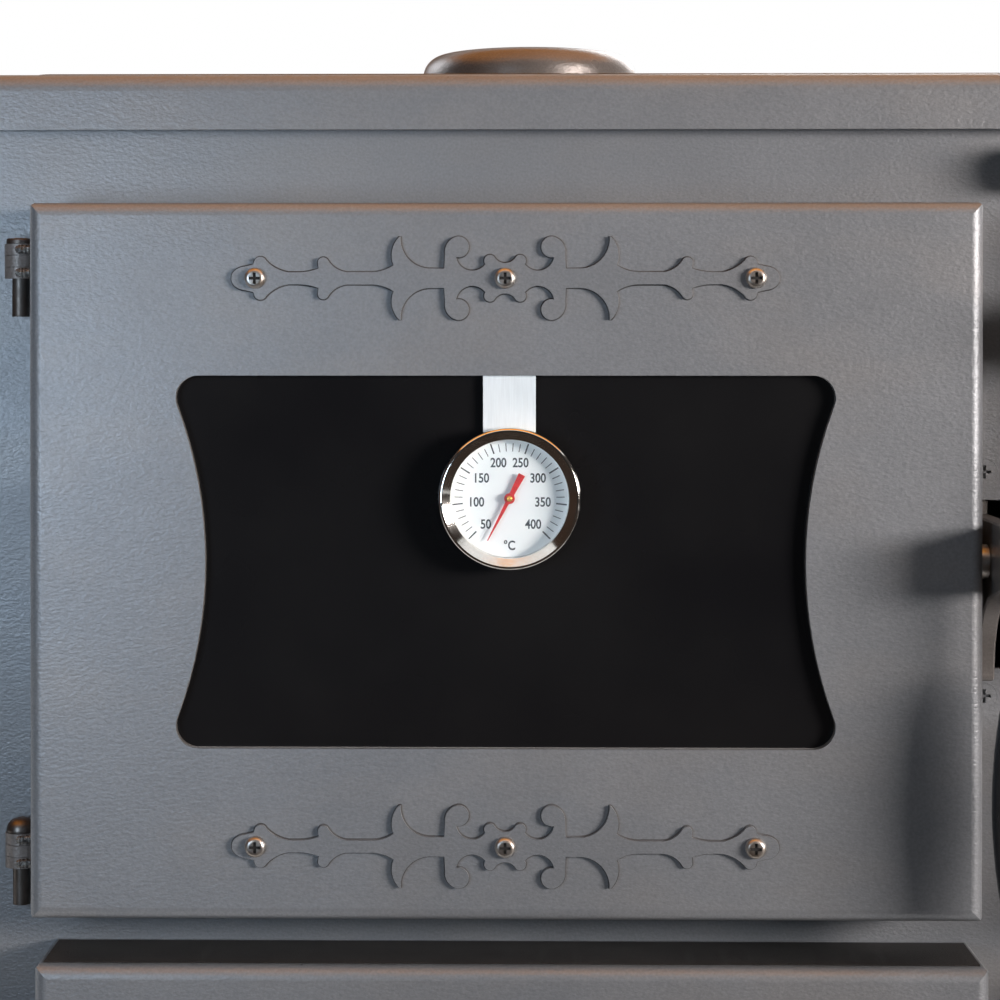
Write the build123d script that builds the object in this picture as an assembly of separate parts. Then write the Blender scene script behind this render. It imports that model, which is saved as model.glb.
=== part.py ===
from build123d import *
import os
from dataclasses import dataclass

# Wood cookstove: oven on the left, firebox and ash drawer on the right, a flat-topped cooking
# plate, and drawers for wood and kindling below. Millimetres. X runs to the right, Y to the
# back and Z up. The origin is on the floor, under the middle of the overall size.

# ---- body ----
BODY_WIDTH = 860.0
BODY_DEPTH = 500.0
BODY_BOTTOM = 115.0
SHEET = 2.0
FLANGE = 15.0
MOUTH_CORNER = 8.0
DRAWER_MOUTH_CORNER = 3.0
SLOT_CORNER = 1.0
PLINTH_INSET = 30.0
PLINTH_BOTTOM = 12.0
PLINTH_FLANGE = 22.0
FOOT_INSET = 30.0
FOOT_RADIUS = 18.0
FOOT_THICKNESS = 8.0
FOOT_SHELF_Z = 30.0
FOOT_SHELF_SHEET = 3.0
FOOT_STEM_RADIUS = 5.0
FOOT_STEM_TOP = 48.0
FOOT_NUT_RADIUS = 9.0
FOOT_NUT_HEIGHT = 6.0

# ---- the front's rows, from the bottom up, and its columns, from the left ----
BELOW_LOW_DRAWERS = 24.9
LOW_FRONT_HEIGHT = 210.0
ROW_GAP = 21.1
OVEN_DOOR_HEIGHT = 327.7
ABOVE_DOORS = 59.7
ASH_FRONT_HEIGHT = 96.0
FIRE_DOOR_GAP = 21.0
OVEN_EDGE_MARGIN = 44.0
FIRE_EDGE_MARGIN = 45.0
COLUMN_WIDTH = 80.0
FIRE_DOOR_WIDTH = 256.0

# ---- cooktop ----
TOP_SHEET = 3.0
TOP_OVERHANG_FRONT = 14.0
TOP_OVERHANG_SIDE = 10.0
SKIRT_HEIGHT = 26.6
TOP_EDGE_RADIUS = 8.5
TOP_CORNER_RADIUS = 12.0
PLATE_SETBACK = 26.0
PLATE_SIDE_MARGIN = 30.0
PLATE_RIM = 4.0
PLATE_LOWER = 5.0
PLATE_LAP = 10.0
RING_RADIUS = 110.0
PLUG_RADIUS = 54.0
RING_STEP = 8.0
RING_MARGIN = 17.0
SEAT_CLEARANCE = 0.6
PLATE_CORNER_RADIUS = 10.0
PLATE_CHAMFER = 1.5
LIFTER_LENGTH = 26.0
LIFTER_WIDTH = 8.0
LIFTER_OFFSET = 20.0
LIFTER_FLOOR = 0.5

# ---- flue ----
FLUE_SHIFT = 16.5
FLUE_GAP = 14.0
FLUE_BORE_RADIUS = 60.5
FLUE_WALL = 4.5
FLUE_FLANGE = 15.0
FLUE_FLANGE_THICKNESS = 5.0
COLLAR_CHAMFER = 1.0
COLLAR_HOLE_RADIUS = 2.5
COLLAR_FLANGE_ROUND = 2.0
FLUE_HOLE_MARGIN = 2.0
REAR_COLLAR_LENGTH = 45.0
REAR_COLLAR_DROP = 118.4
CAP_RADIUS = 67.0
CAP_SHEET = 1.5
CAP_SHOULDER = 13.0
CAP_HEIGHT = 36.0
CAP_RISE = 51.8

# ---- doors and drawer fronts ----
DOOR_DEPTH = 50.0
DOOR_GAP = 1.0
DOOR_SHEET = 2.0
DOOR_EDGE_RADIUS = 6.0
DOOR_CORNER_CUT = 2.2
LINER_SHEET = 1.5
LINER_ROOM = 12.0
ROPE_WIDTH = 10.0
ROPE_GAP = 0.4
GLASS_THICKNESS = 4.0
GLASS_GASKET = 3.0
GLASS_LAP_X = 7.0
GLASS_LAP_Z = 12.0
OVEN_WINDOW_MARGIN_X = 62.3
OVEN_WINDOW_MARGIN_Z = 78.85
OVEN_WINDOW_WAIST = 18.6
FIRE_WINDOW_MARGIN_X = 44.0
FIRE_WINDOW_HALF_HEIGHT = 47.0
FIRE_WINDOW_WAIST = 10.0
ORNAMENT_THICKNESS = 2.0
ORNAMENT_SCREW_REACH = 113.6
OVEN_ORNAMENT_RISE = 129.2
FIRE_ORNAMENT_RISE = 78.0
FIRE_ORNAMENT_CUT = 26.0
ROPE_INSET = 6.0
ROPE_CORNER = 16.0
ROPE_ROUND = 2.5
GLASS_CORNER = 6.0
SLEEVE_INSET = 6.0
SLEEVE_GAP = 3.0
CLIP_HALF_WIDTH = 10.0
CLIP_FOOT = 12.0
CLIP_GAP = 1.0
CLIP_LAP = 5.0
CLIP_SHEET = 1.5
CLIP_PLACE = 0.55
OVEN_MOUTH_LEFT_MARGIN = 20.0
OVEN_MOUTH_RIGHT_MARGIN = 19.0
OVEN_MOUTH_MARGIN_Z = 23.85
FIRE_MOUTH_LEFT_MARGIN = 34.0
FIRE_MOUTH_RIGHT_MARGIN = 28.0
FIRE_MOUTH_BOTTOM_MARGIN = 24.0
FIRE_MOUTH_TOP_MARGIN = 23.7

# ---- drawers ----
WOOD_FRONT_LEFT_INSET = 2.0
WOOD_FRONT_RIGHT_REACH = 3.0
MOUTH_MARGIN = 15.0
ASH_MOUTH_BOTTOM_MARGIN = 9.0
ASH_MOUTH_TOP_MARGIN = 12.0
DRAWER_SHEET = 1.5
DRAWER_SIDE_GAP = 6.0
DRAWER_BACK_ROOM = 80.0
DRAWER_TOP_GAP = 10.0
RUNNER_WIDTH = 20.0
RUNNER_SHEET = 2.0
RUNNER_HEIGHT = 25.0
SLIDE_CLEARANCE = 0.3
RUNNER_GAP = 3.0
RUNNER_OUTSET = 4.0
BACK_PLATE_SETBACK = 3.0
ASH_RAIL_THICKNESS = 3.0
ASH_RAIL_INSET = 10.0
ASH_PAN_HEIGHT = 58.0
ASH_PAN_ROOM = 25.0
HANDLE_LENGTH = 130.0
HANDLE_RADIUS = 12.0
HANDLE_END_RADIUS = 8.0
HANDLE_STANDOFF = 30.0
HANDLE_RISE = 25.0
HANDLE_POST_REACH = 48.0
HANDLE_POST_RADIUS = 5.0
ASH_KNOB_RADIUS = 13.0
ASH_KNOB_FRONT = 26.0
ASH_KNOB_BACK = 8.0
ASH_KNOB_ROUND = 5.0
ASH_KNOB_STEM = 6.0
ASH_KNOB_RISE = 30.0

# ---- hinges ----
HINGE_OFFSET = 11.5
HINGE_STANDOFF = 9.0
PIN_RADIUS = 4.0
PIN_TAIL = 18.0
KNUCKLE_RADIUS = 7.5
KNUCKLE_HEIGHT = 5.3
KNUCKLE_GAP = 0.2
KNUCKLE_DROP = 17.6
KNUCKLE_RISE = 15.7
KNUCKLE_FOOT = 10.0
KNUCKLE_BITE = 4.5
PIN_HEAD_RADIUS = 6.7
PIN_HEAD_HEIGHT = 2.4
PIN_HEAD_ROUND = 0.8
DOME_RADIUS = 7.0
DOME_HEIGHT = 6.4
DOME_ROUND = 5.5
RUNNING_CLEARANCE = 0.05

# ---- latches ----
OVEN_PIVOT_RISE = 162.7
FIRE_PIVOT_RISE = 152.0
PIVOT_STANDOFF = 30.0
PIVOT_RADIUS = 4.0
LEVER_GAP = 5.3
LEVER_THICKNESS = 8.0
SLOT_OFFSET = 10.1
SLOT_WIDTH = 20.0
SLOT_ABOVE = 26.2
SLOT_BELOW = 53.8
HOOK_CLEARANCE = 0.5
HOOK_STANDOFF = 2.0
HOOK_LENGTH = 10.0
KEEPER_SHEET = 3.0
KEEPER_WIDTH = 30.0
KEEPER_SCREW_ABOVE = 39.5
KEEPER_SCREW_BELOW = 66.9
KEEPER_MARGIN = 9.0
GRIP_OFFSET = 11.2
GRIP_STANDOFF = 80.0
GRIP_DROP = 103.0
GRIP_LENGTH = 110.0
GRIP_RADIUS = 14.0
GRIP_END_RADIUS = 8.5
GRIP_END_ROUND = 2.0
SPINDLE_RADIUS = 4.0
SPINDLE_COLLAR_RADIUS = 7.0
SPINDLE_COLLAR_HEIGHT = 6.0
SPINDLE_FOOT_RADIUS = 6.5
SPINDLE_FOOT_HEIGHT = 5.0
SPINDLE_RISE = 10.0
LEVER_CHAMFER = 0.8
SPACER_RADIUS = 8.0
BOLT_HEAD_RADIUS = 7.0
BOLT_HEAD_HEIGHT = 4.5
BOLT_NUT_RADIUS = 6.5
BOLT_NUT_HEIGHT = 6.0

# ---- screws ----
COUNTERSUNK_HEAD_RADIUS = 6.0
COUNTERSUNK_HEAD_HEIGHT = 3.0
COUNTERSUNK_SHANK_RADIUS = 3.0
COUNTERSUNK_LENGTH = 12.0
COUNTERSUNK_CROSS = 3.2
COUNTERSUNK_CROSS_DEPTH = 1.8
PAN_HEAD_RADIUS = 4.75
PAN_HEAD_HEIGHT = 3.2
PAN_HEAD_ROUND = 2.2
PAN_SHANK_RADIUS = 2.5
PAN_HOLE_RADIUS = 2.7
PAN_CROSS = 2.6
PAN_CROSS_DEPTH = 1.4
PAN_NUT_RADIUS = 4.6
PAN_NUT_HEIGHT = 4.0
PAN_TIP = 7.0
CROSS_HALF_WIDTH = 0.7
SCREW_HOLE_SLACK = 0.1

# ---- thermometer ----
STRAP_WIDTH = 24.0
STRAP_SHEET = 1.2
THERMOMETER_SHIFT = 2.0
THERMOMETER_RISE = 29.4
CASE_RADIUS = 32.2
CASE_DEPTH = 12.0
DIAL_RADIUS = 26.8
SPINDLE_NEEDLE_RADIUS = 1.2
STRAP_BELOW = 12.0
STRAP_ABOVE = 12.0
BEZEL_ROUND = 1.7
BEZEL_CREST_RADIUS = 30.4
BEZEL_SLOPE_DEPTH = 2.1
CASE_FLOOR = 3.0
DIAL_SHEET = 1.0
LENS_SETBACK = 2.6
LENS_SHEET = 1.2
NEEDLE_TIP = 21.5
NEEDLE_TAIL = 12.2
NEEDLE_TIP_HALF = 0.2
NEEDLE_NECK_HALF = 0.9
NEEDLE_TAIL_HALF = 1.6
NEEDLE_SHEET = 0.5
NEEDLE_STANDOFF = 2.0
NEEDLE_BOSS_RADIUS = 2.4
NEEDLE_BOSS_HALF = 0.8
NEEDLE_REST_ANGLE = 152.5

# ---- firebox, oven and draught ----
SHELL_SHEET = 3.0
SHELL_DEPTH = 321.0
ASH_FALL_INSET = 12.0
ASH_FALL_FRONT = 40.0
ASH_FALL_BACK = 55.0
SMOKE_PORT_FRONT = 40.0
SMOKE_PORT_BACK = 300.0
SMOKE_PORT_RISE = 10.0
SHELL_DROP = 13.4
GRATE_FLOOR_DROP = 26.0
BRICK_THICKNESS = 24.0
BRICK_DROP = 68.4
BRICK_JOINT = 1.0
CHAMBER_EXTRA = 6.0
GRATE_THICKNESS = 12.0
GRATE_GAP = 3.0
GRATE_FRONT = 25.0
GRATE_BACK = 35.0
GRATE_BORDER = 12.0
GRATE_END = 22.0
GRATE_SLOT_HALF = 5.0
GRATE_SLOTS = 7
BRICK_CHAMFER = 1.5
LEDGE_WIDTH = 10.0
LEDGE_FRONT = 10.0
LEDGE_DROP = 4.0
LEDGE_SHEET = 2.0
RACK_SIDE_GAP = 5.0
RACK_FRONT_GAP = 15.0
RACK_BACK_GAP = 6.0
RACK_RISE = 0.8
RACK_BAR_RADIUS = 2.5
RACK_WIRE_RADIUS = 1.8
RACK_WIRE_INSET = 7.0
RACK_WIRES = 11
BAFFLE_FRONT_GAP = 8.0
SIDE_WAY_INSET = 12.0
SIDE_WAY_GAP = 6.0
SIDE_WAY_FRONT = 60.0
SIDE_WAY_BACK = 20.0
OVEN_BACK_ROOM = 100.0
OVEN_RACK_RISE = 80.15
BAFFLE_RISE = 15.15
DAMPER_ROD_DROP = 41.4
DAMPER_ROD_RADIUS = 4.0
DAMPER_ROOM = 30.0
DAMPER_TAB_THICKNESS = 3.0
DAMPER_TAB_WIDTH = 12.0
BYPASS_WIDTH = 58.0
BYPASS_DEPTH = 55.0
DAMPER_LAP = 5.0
SHUTTER_TRAVEL = 16.0
SHUTTER_SLOT = 16.0
SHUTTER_SLOTS = 4
SHUTTER_TOP = 15.0
SHUTTER_BOTTOM = 37.0
SHUTTER_BORDER = 4.0
SHUTTER_FRONT = 2.5
SHUTTER_END = 9.0
SHUTTER_TAB_HALF = 18.0
SHUTTER_TAB_REACH = 13.0
SHUTTER_TAB_SHEET = 1.5
RIVET_RADIUS = 2.5
RIVET_LENGTH = 2.8
RIVET_HEAD_RADIUS = 5.0
RIVET_HEAD_HEIGHT = 1.5
RIVET_SLOT_RADIUS = 2.8
DAMPER_KNOB_RADIUS = 11.0
DAMPER_KNOB_FRONT = 28.0
DAMPER_KNOB_BACK = 4.0
DAMPER_KNOB_ROUND = 6.0
DAMPER_ROD_FRONT = 20.0

# ---- places worked out from the sizes above ----
FRONT = -(BODY_DEPTH + REAR_COLLAR_LENGTH - GRIP_STANDOFF - GRIP_RADIUS) / 2
BACK = FRONT + BODY_DEPTH
FACE = FRONT - DOOR_DEPTH
HALF_WIDTH = BODY_WIDTH / 2
LINER_SETBACK = DOOR_DEPTH - LINER_ROOM
OVEN_DEPTH = BODY_DEPTH - OVEN_BACK_ROOM
DRAWER_DEPTH = BODY_DEPTH - DRAWER_BACK_ROOM
PLATE_DEPTH = 2 * (RING_RADIUS + RING_MARGIN)
FLUE_SETBACK = PLATE_SETBACK + PLATE_DEPTH + FLUE_GAP + FLUE_BORE_RADIUS + FLUE_WALL + FLUE_FLANGE
DAMPER_SETBACK = OVEN_DEPTH - DAMPER_ROOM
LOW_FRONT_Z = (BODY_BOTTOM + BELOW_LOW_DRAWERS, BODY_BOTTOM + BELOW_LOW_DRAWERS + LOW_FRONT_HEIGHT)
ROW_BOTTOM = LOW_FRONT_Z[1] + ROW_GAP
ROW_TOP = ROW_BOTTOM + OVEN_DOOR_HEIGHT
BODY_TOP = ROW_TOP + ABOVE_DOORS
TOP_Z = BODY_TOP + TOP_SHEET
SKIRT_BOTTOM = TOP_Z - SKIRT_HEIGHT
FIRE_DOOR_X = (HALF_WIDTH - FIRE_EDGE_MARGIN - FIRE_DOOR_WIDTH, HALF_WIDTH - FIRE_EDGE_MARGIN)
OVEN_DOOR_X = (-HALF_WIDTH + OVEN_EDGE_MARGIN, FIRE_DOOR_X[0] - COLUMN_WIDTH)
OVEN_DOOR_Z = (ROW_BOTTOM, ROW_TOP)
ASH_FRONT_X = FIRE_DOOR_X
ASH_FRONT_Z = (ROW_BOTTOM, ROW_BOTTOM + ASH_FRONT_HEIGHT)
FIRE_DOOR_Z = (ASH_FRONT_Z[1] + FIRE_DOOR_GAP, ROW_TOP)
WOOD_FRONT_X = (OVEN_DOOR_X[0] + WOOD_FRONT_LEFT_INSET, OVEN_DOOR_X[1] + WOOD_FRONT_RIGHT_REACH)
KINDLING_FRONT_X = FIRE_DOOR_X
OVEN_MOUTH_X = (OVEN_DOOR_X[0] + OVEN_MOUTH_LEFT_MARGIN, OVEN_DOOR_X[1] - OVEN_MOUTH_RIGHT_MARGIN)
OVEN_MOUTH_Z = (ROW_BOTTOM + OVEN_MOUTH_MARGIN_Z, ROW_TOP - OVEN_MOUTH_MARGIN_Z)
FIRE_MOUTH_X = (FIRE_DOOR_X[0] + FIRE_MOUTH_LEFT_MARGIN, FIRE_DOOR_X[1] - FIRE_MOUTH_RIGHT_MARGIN)
FIRE_MOUTH_Z = (FIRE_DOOR_Z[0] + FIRE_MOUTH_BOTTOM_MARGIN, FIRE_DOOR_Z[1] - FIRE_MOUTH_TOP_MARGIN)
ASH_MOUTH_X = FIRE_MOUTH_X
ASH_MOUTH_Z = (ASH_FRONT_Z[0] + ASH_MOUTH_BOTTOM_MARGIN, ASH_FRONT_Z[1] - ASH_MOUTH_TOP_MARGIN)
OVEN_PIVOT_Z = OVEN_DOOR_Z[0] + OVEN_PIVOT_RISE
FIRE_PIVOT_Z = FIRE_DOOR_Z[0] + FIRE_PIVOT_RISE
OVEN_CENTRE_X = (OVEN_DOOR_X[0] + OVEN_DOOR_X[1]) / 2
FLUE_X = OVEN_CENTRE_X + FLUE_SHIFT
REAR_COLLAR_Z = BODY_TOP - REAR_COLLAR_DROP
CAP_TOP = TOP_Z + CAP_RISE
SHELL_X = (
    FIRE_MOUTH_X[0] - BRICK_THICKNESS - SHELL_SHEET,
    FIRE_MOUTH_X[1] + BRICK_THICKNESS + SHELL_SHEET + CHAMBER_EXTRA,
)
SHELL_TOP = BODY_TOP - SHELL_DROP
GRATE_FLOOR_Z = FIRE_MOUTH_Z[0] - GRATE_FLOOR_DROP
BRICK_TOP = BODY_TOP - BRICK_DROP
OVEN_RACK_Z = OVEN_MOUTH_Z[0] + OVEN_RACK_RISE
BAFFLE_Z = OVEN_MOUTH_Z[1] + BAFFLE_RISE
DAMPER_X = (OVEN_DOOR_X[1] + FIRE_DOOR_X[0]) / 2
DAMPER_ROD_Z = BODY_TOP - DAMPER_ROD_DROP


STANDING = (Align.CENTER, Align.CENTER, Align.MIN)


def middle(span):
    return (span[0] + span[1]) / 2


def grown(span, margin):
    return (span[0] - margin, span[1] + margin)


def around(centre, half):
    return (centre - half, centre + half)


def block(x, y, z):
    """A box from its low and high ends along each axis."""
    return Pos(middle(x), middle(y), middle(z)) * Box(x[1] - x[0], y[1] - y[0], z[1] - z[0])


def disc(x, z, radius, y):
    """A round piece along Y, between two values of Y."""
    turned = Pos(x, middle(y), z) * Rot(90, 0, 0)
    return turned * Cylinder(radius, y[1] - y[0])


def post(x, y, radius, z):
    """A round piece along Z, between two heights."""
    return Pos(x, y, middle(z)) * Cylinder(radius, z[1] - z[0])


def axle(x, y, z, radius):
    """A round piece along X, between two values of X."""
    turned = Pos(middle(x), y, z) * Rot(0, 90, 0)
    return turned * Cylinder(radius, x[1] - x[0])


def sheet_xz(outline, y):
    """A flat plate from an outline drawn in X and Z, between two values of Y."""
    back = Plane(origin=(0, y[1], 0), x_dir=(1, 0, 0), z_dir=(0, -1, 0))
    return extrude(back * outline, y[1] - y[0])


def opening(x, z, radius=0.0):
    """The outline of a rectangle in X and Z, with rounded corners where asked."""
    size = (x[1] - x[0], z[1] - z[0])
    shape = RectangleRounded(*size, radius) if radius else Rectangle(*size)
    return Pos(middle(x), middle(z)) * shape


def solids_of(*shapes):
    """One node that holds several separate solids."""
    return Compound([solid for shape in shapes for solid in shape.solids()])


def slot_x(pivot_x):
    return around(pivot_x, SLOT_WIDTH / 2)


def slot_z(pivot_z):
    return (pivot_z - SLOT_BELOW, pivot_z + SLOT_ABOVE)


@dataclass(frozen=True)
class Window:
    """A window with straight top and bottom and sides drawn in at the middle."""

    half_height: float
    corner_half_width: float
    waist: float
    corner_radius: float

    def outline(self):
        h, w = self.half_height, self.corner_half_width
        narrow = w - self.waist
        edges = [
            Line((-w, h), (w, h)),
            ThreePointArc((w, h), (narrow, 0), (w, -h)),
            Line((w, -h), (-w, -h)),
            ThreePointArc((-w, -h), (-narrow, 0), (-w, h)),
        ]
        face = make_face(edges)
        return fillet(face.vertices(), self.corner_radius)


@dataclass(frozen=True)
class Door:
    """A hinged pan door: its outline, its mouth in the front panel and its fittings."""

    x: tuple
    z: tuple
    mouth_x: tuple
    mouth_z: tuple
    window: Window
    latch_side: int
    pivot_z: float
    ornament_rise: float
    ornament_cut: float

    @property
    def centre_x(self):
        return middle(self.x)

    @property
    def centre_z(self):
        return middle(self.z)

    @property
    def latch_edge(self):
        return self.x[1] if self.latch_side > 0 else self.x[0]

    @property
    def hinge_edge(self):
        return self.x[0] if self.latch_side > 0 else self.x[1]

    @property
    def hinge_x(self):
        return self.hinge_edge - self.latch_side * HINGE_OFFSET

    @property
    def slot_x(self):
        return self.latch_edge + self.latch_side * SLOT_OFFSET

    @property
    def grip_x(self):
        return self.latch_edge + self.latch_side * GRIP_OFFSET

    @property
    def screw_reach(self):
        return ORNAMENT_SCREW_REACH - self.ornament_cut

    def beside_latch(self, near, far):
        """A span of X that starts and ends this far outside the latch edge."""
        ends = (self.latch_edge + self.latch_side * near, self.latch_edge + self.latch_side * far)
        return (min(ends), max(ends))

    def knuckle_bottoms(self):
        """The lowest height of the upper and of the lower stack of three knuckles."""
        stack = 3 * KNUCKLE_HEIGHT + 2 * KNUCKLE_GAP
        return (self.z[1] - KNUCKLE_DROP - stack, self.z[0] + KNUCKLE_RISE)


OVEN_WINDOW = Window(
    half_height=OVEN_DOOR_HEIGHT / 2 - OVEN_WINDOW_MARGIN_Z,
    corner_half_width=(OVEN_DOOR_X[1] - OVEN_DOOR_X[0]) / 2 - OVEN_WINDOW_MARGIN_X,
    waist=OVEN_WINDOW_WAIST,
    corner_radius=10.2,
)
FIRE_WINDOW = Window(
    half_height=FIRE_WINDOW_HALF_HEIGHT,
    corner_half_width=FIRE_DOOR_WIDTH / 2 - FIRE_WINDOW_MARGIN_X,
    waist=FIRE_WINDOW_WAIST,
    corner_radius=9.0,
)

OVEN_DOOR = Door(
    x=OVEN_DOOR_X, z=OVEN_DOOR_Z, mouth_x=OVEN_MOUTH_X, mouth_z=OVEN_MOUTH_Z, window=OVEN_WINDOW,
    latch_side=1, pivot_z=OVEN_PIVOT_Z, ornament_rise=OVEN_ORNAMENT_RISE, ornament_cut=0.0,
)
FIRE_DOOR = Door(
    x=FIRE_DOOR_X, z=FIRE_DOOR_Z, mouth_x=FIRE_MOUTH_X, mouth_z=FIRE_MOUTH_Z, window=FIRE_WINDOW,
    latch_side=-1, pivot_z=FIRE_PIVOT_Z, ornament_rise=FIRE_ORNAMENT_RISE, ornament_cut=FIRE_ORNAMENT_CUT,
)
DOORS = (OVEN_DOOR, FIRE_DOOR)


# ---- body shell ----

def mouth_of(front_x, front_z):
    """The mouth that a drawer front covers with an even margin."""
    return grown(front_x, -MOUTH_MARGIN), grown(front_z, -MOUTH_MARGIN)


WOOD_MOUTH = mouth_of(WOOD_FRONT_X, LOW_FRONT_Z)
KINDLING_MOUTH = mouth_of(KINDLING_FRONT_X, LOW_FRONT_Z)
ASH_MOUTH = (ASH_MOUTH_X, ASH_MOUTH_Z)


def keeper_screw_heights(door):
    return (door.pivot_z + KEEPER_SCREW_ABOVE, door.pivot_z - KEEPER_SCREW_BELOW)


def countersunk_screw(x, z, slack=0.0):
    """An M6 countersunk screw with its flat head flush in the front panel; slack widens it to a hole."""
    height = COUNTERSUNK_HEAD_HEIGHT
    cone = Cone(COUNTERSUNK_SHANK_RADIUS + slack, COUNTERSUNK_HEAD_RADIUS + slack, height)
    head = Pos(x, FRONT + height / 2, z) * Rot(90, 0, 0) * cone
    shank_y = (FRONT + height - 0.1, FRONT + COUNTERSUNK_LENGTH)
    return head + disc(x, z, COUNTERSUNK_SHANK_RADIUS + slack, shank_y)


def cross_recess(x, z, y_open, reach, depth):
    """The cross in a screw's head, cut from y_open towards the back."""
    y = (y_open - 0.5, y_open + depth)
    bar = block(around(x, CROSS_HALF_WIDTH), y, around(z, reach))
    return bar + block(around(x, reach), y, around(z, CROSS_HALF_WIDTH))


def front_panel():
    panel = block(around(0, HALF_WIDTH), (FRONT, FRONT + SHEET), (BODY_BOTTOM, BODY_TOP))
    cut_y = (FRONT - 1, FRONT + SHEET + 1)
    for door in DOORS:
        panel -= sheet_xz(opening(door.mouth_x, door.mouth_z, MOUTH_CORNER), cut_y)
        panel -= sheet_xz(opening(slot_x(door.slot_x), slot_z(door.pivot_z), SLOT_CORNER), cut_y)
        for height in keeper_screw_heights(door):
            panel -= countersunk_screw(door.slot_x, height, slack=SCREW_HOLE_SLACK)
    for mouth in (WOOD_MOUTH, KINDLING_MOUTH, ASH_MOUTH):
        panel -= sheet_xz(opening(*mouth, DRAWER_MOUTH_CORNER), cut_y)
    return panel - disc(DAMPER_X, DAMPER_ROD_Z, DAMPER_ROD_RADIUS + 2 * RUNNING_CLEARANCE, cut_y)


def side_panel(side):
    """A folded side sheet with a flange behind the front panel and one before the back panel."""
    def span(outer, inner):
        return (min(side * outer, side * inner), max(side * outer, side * inner))

    z = (BODY_BOTTOM, BODY_TOP)
    y = (FRONT + SHEET, BACK - SHEET)
    panel = block(span(HALF_WIDTH, HALF_WIDTH - SHEET), y, z)
    flange_x = span(HALF_WIDTH, HALF_WIDTH - FLANGE)
    panel += block(flange_x, (y[0], y[0] + SHEET), z)
    return panel + block(flange_x, (y[1] - SHEET, y[1]), z)


def back_panel():
    panel = block(around(0, HALF_WIDTH), (BACK - SHEET, BACK), (BODY_BOTTOM, BODY_TOP))
    return panel - disc(FLUE_X, REAR_COLLAR_Z, FLUE_BORE_RADIUS + FLUE_HOLE_MARGIN, around(BACK, 2 * SHEET))


def base_plate():
    inner = HALF_WIDTH - FLANGE
    y = (FRONT + SHEET, BACK - SHEET)
    return block(around(0, inner), y, (BODY_BOTTOM, BODY_BOTTOM + SHEET))


def foot_places():
    x = HALF_WIDTH - PLINTH_INSET - FOOT_INSET
    ys = (FRONT + PLINTH_INSET + FOOT_INSET, BACK - PLINTH_INSET - FOOT_INSET)
    return [(side * x, y) for side in (-1, 1) for y in ys]


def plinth():
    """A folded base ring with a flange under the base plate and a shelf in each corner for a foot."""
    x = around(0, HALF_WIDTH - PLINTH_INSET)
    y = (FRONT + PLINTH_INSET, BACK - PLINTH_INSET)
    ring = block(x, y, (PLINTH_BOTTOM, BODY_BOTTOM))
    ring -= block(grown(x, -SHEET), grown(y, -SHEET), (PLINTH_BOTTOM - 1, BODY_BOTTOM - SHEET))
    ring -= block(grown(x, -PLINTH_FLANGE), grown(y, -PLINTH_FLANGE), (PLINTH_BOTTOM, BODY_BOTTOM + 1))
    shelf_z = (FOOT_SHELF_Z, FOOT_SHELF_Z + FOOT_SHELF_SHEET)
    half = FOOT_INSET - SHEET + 0.5
    for foot_x, foot_y in foot_places():
        shelf = block(around(foot_x, half), around(foot_y, half), shelf_z)
        ring += shelf - post(foot_x, foot_y, FOOT_STEM_RADIUS + SLIDE_CLEARANCE, grown(shelf_z, 1))
    return ring


def levelling_feet():
    """Four screwed feet, each a disc, a threaded stem and a nut on either side of its shelf."""
    feet = []
    for x, y in foot_places():
        foot = post(x, y, FOOT_RADIUS, (0, FOOT_THICKNESS))
        foot += post(x, y, FOOT_STEM_RADIUS, (FOOT_THICKNESS, FOOT_STEM_TOP))
        nut = extrude(RegularPolygon(FOOT_NUT_RADIUS, 6), FOOT_NUT_HEIGHT)
        foot += Pos(x, y, FOOT_SHELF_Z - FOOT_NUT_HEIGHT) * nut
        foot += Pos(x, y, FOOT_SHELF_Z + FOOT_SHELF_SHEET) * nut
        feet.append(foot)
    return solids_of(*feet)


# ---- cooktop ----

def plate_span():
    y = (FRONT + PLATE_SETBACK, FRONT + PLATE_SETBACK + PLATE_DEPTH)
    return around(0, HALF_WIDTH - PLATE_SIDE_MARGIN), y


def top_frame():
    x = around(0, HALF_WIDTH + TOP_OVERHANG_SIDE)
    y = (FRONT - TOP_OVERHANG_FRONT, BACK + TOP_OVERHANG_SIDE)
    top = block(x, y, (SKIRT_BOTTOM, TOP_Z))
    top = fillet(top.edges().filter_by(Axis.Z), TOP_CORNER_RADIUS)
    top = fillet(top.faces().sort_by(Axis.Z)[-1].edges(), TOP_EDGE_RADIUS)
    inside = block(grown(x, -TOP_SHEET), grown(y, -TOP_SHEET), (SKIRT_BOTTOM - 1, BODY_TOP))
    inside = fillet(inside.edges().filter_by(Axis.Z), TOP_CORNER_RADIUS - TOP_SHEET)
    top -= fillet(inside.faces().sort_by(Axis.Z)[-1].edges(), TOP_EDGE_RADIUS - TOP_SHEET)
    plate_x, plate_y = plate_span()
    lap = SEAT_CLEARANCE - PLATE_LAP
    top -= block(grown(plate_x, lap), grown(plate_y, lap), (BODY_TOP - 1, TOP_Z + 1))
    hole = FLUE_BORE_RADIUS + FLUE_HOLE_MARGIN
    return top - post(FLUE_X, FRONT + FLUE_SETBACK, hole, (BODY_TOP - 1, TOP_Z + 1))


def burner_centre():
    return middle(SHELL_X), FRONT + PLATE_SETBACK + PLATE_DEPTH / 2


def stepped_disc(radius, slack):
    """A round lid: a wide upper part on a narrower lower part, for a stepped seat."""
    x, y = burner_centre()
    upper = post(x, y, radius - slack, (TOP_Z, TOP_Z + PLATE_RIM))
    return upper + post(x, y, radius - RING_STEP - slack, (TOP_Z - PLATE_LOWER, TOP_Z))


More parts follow.
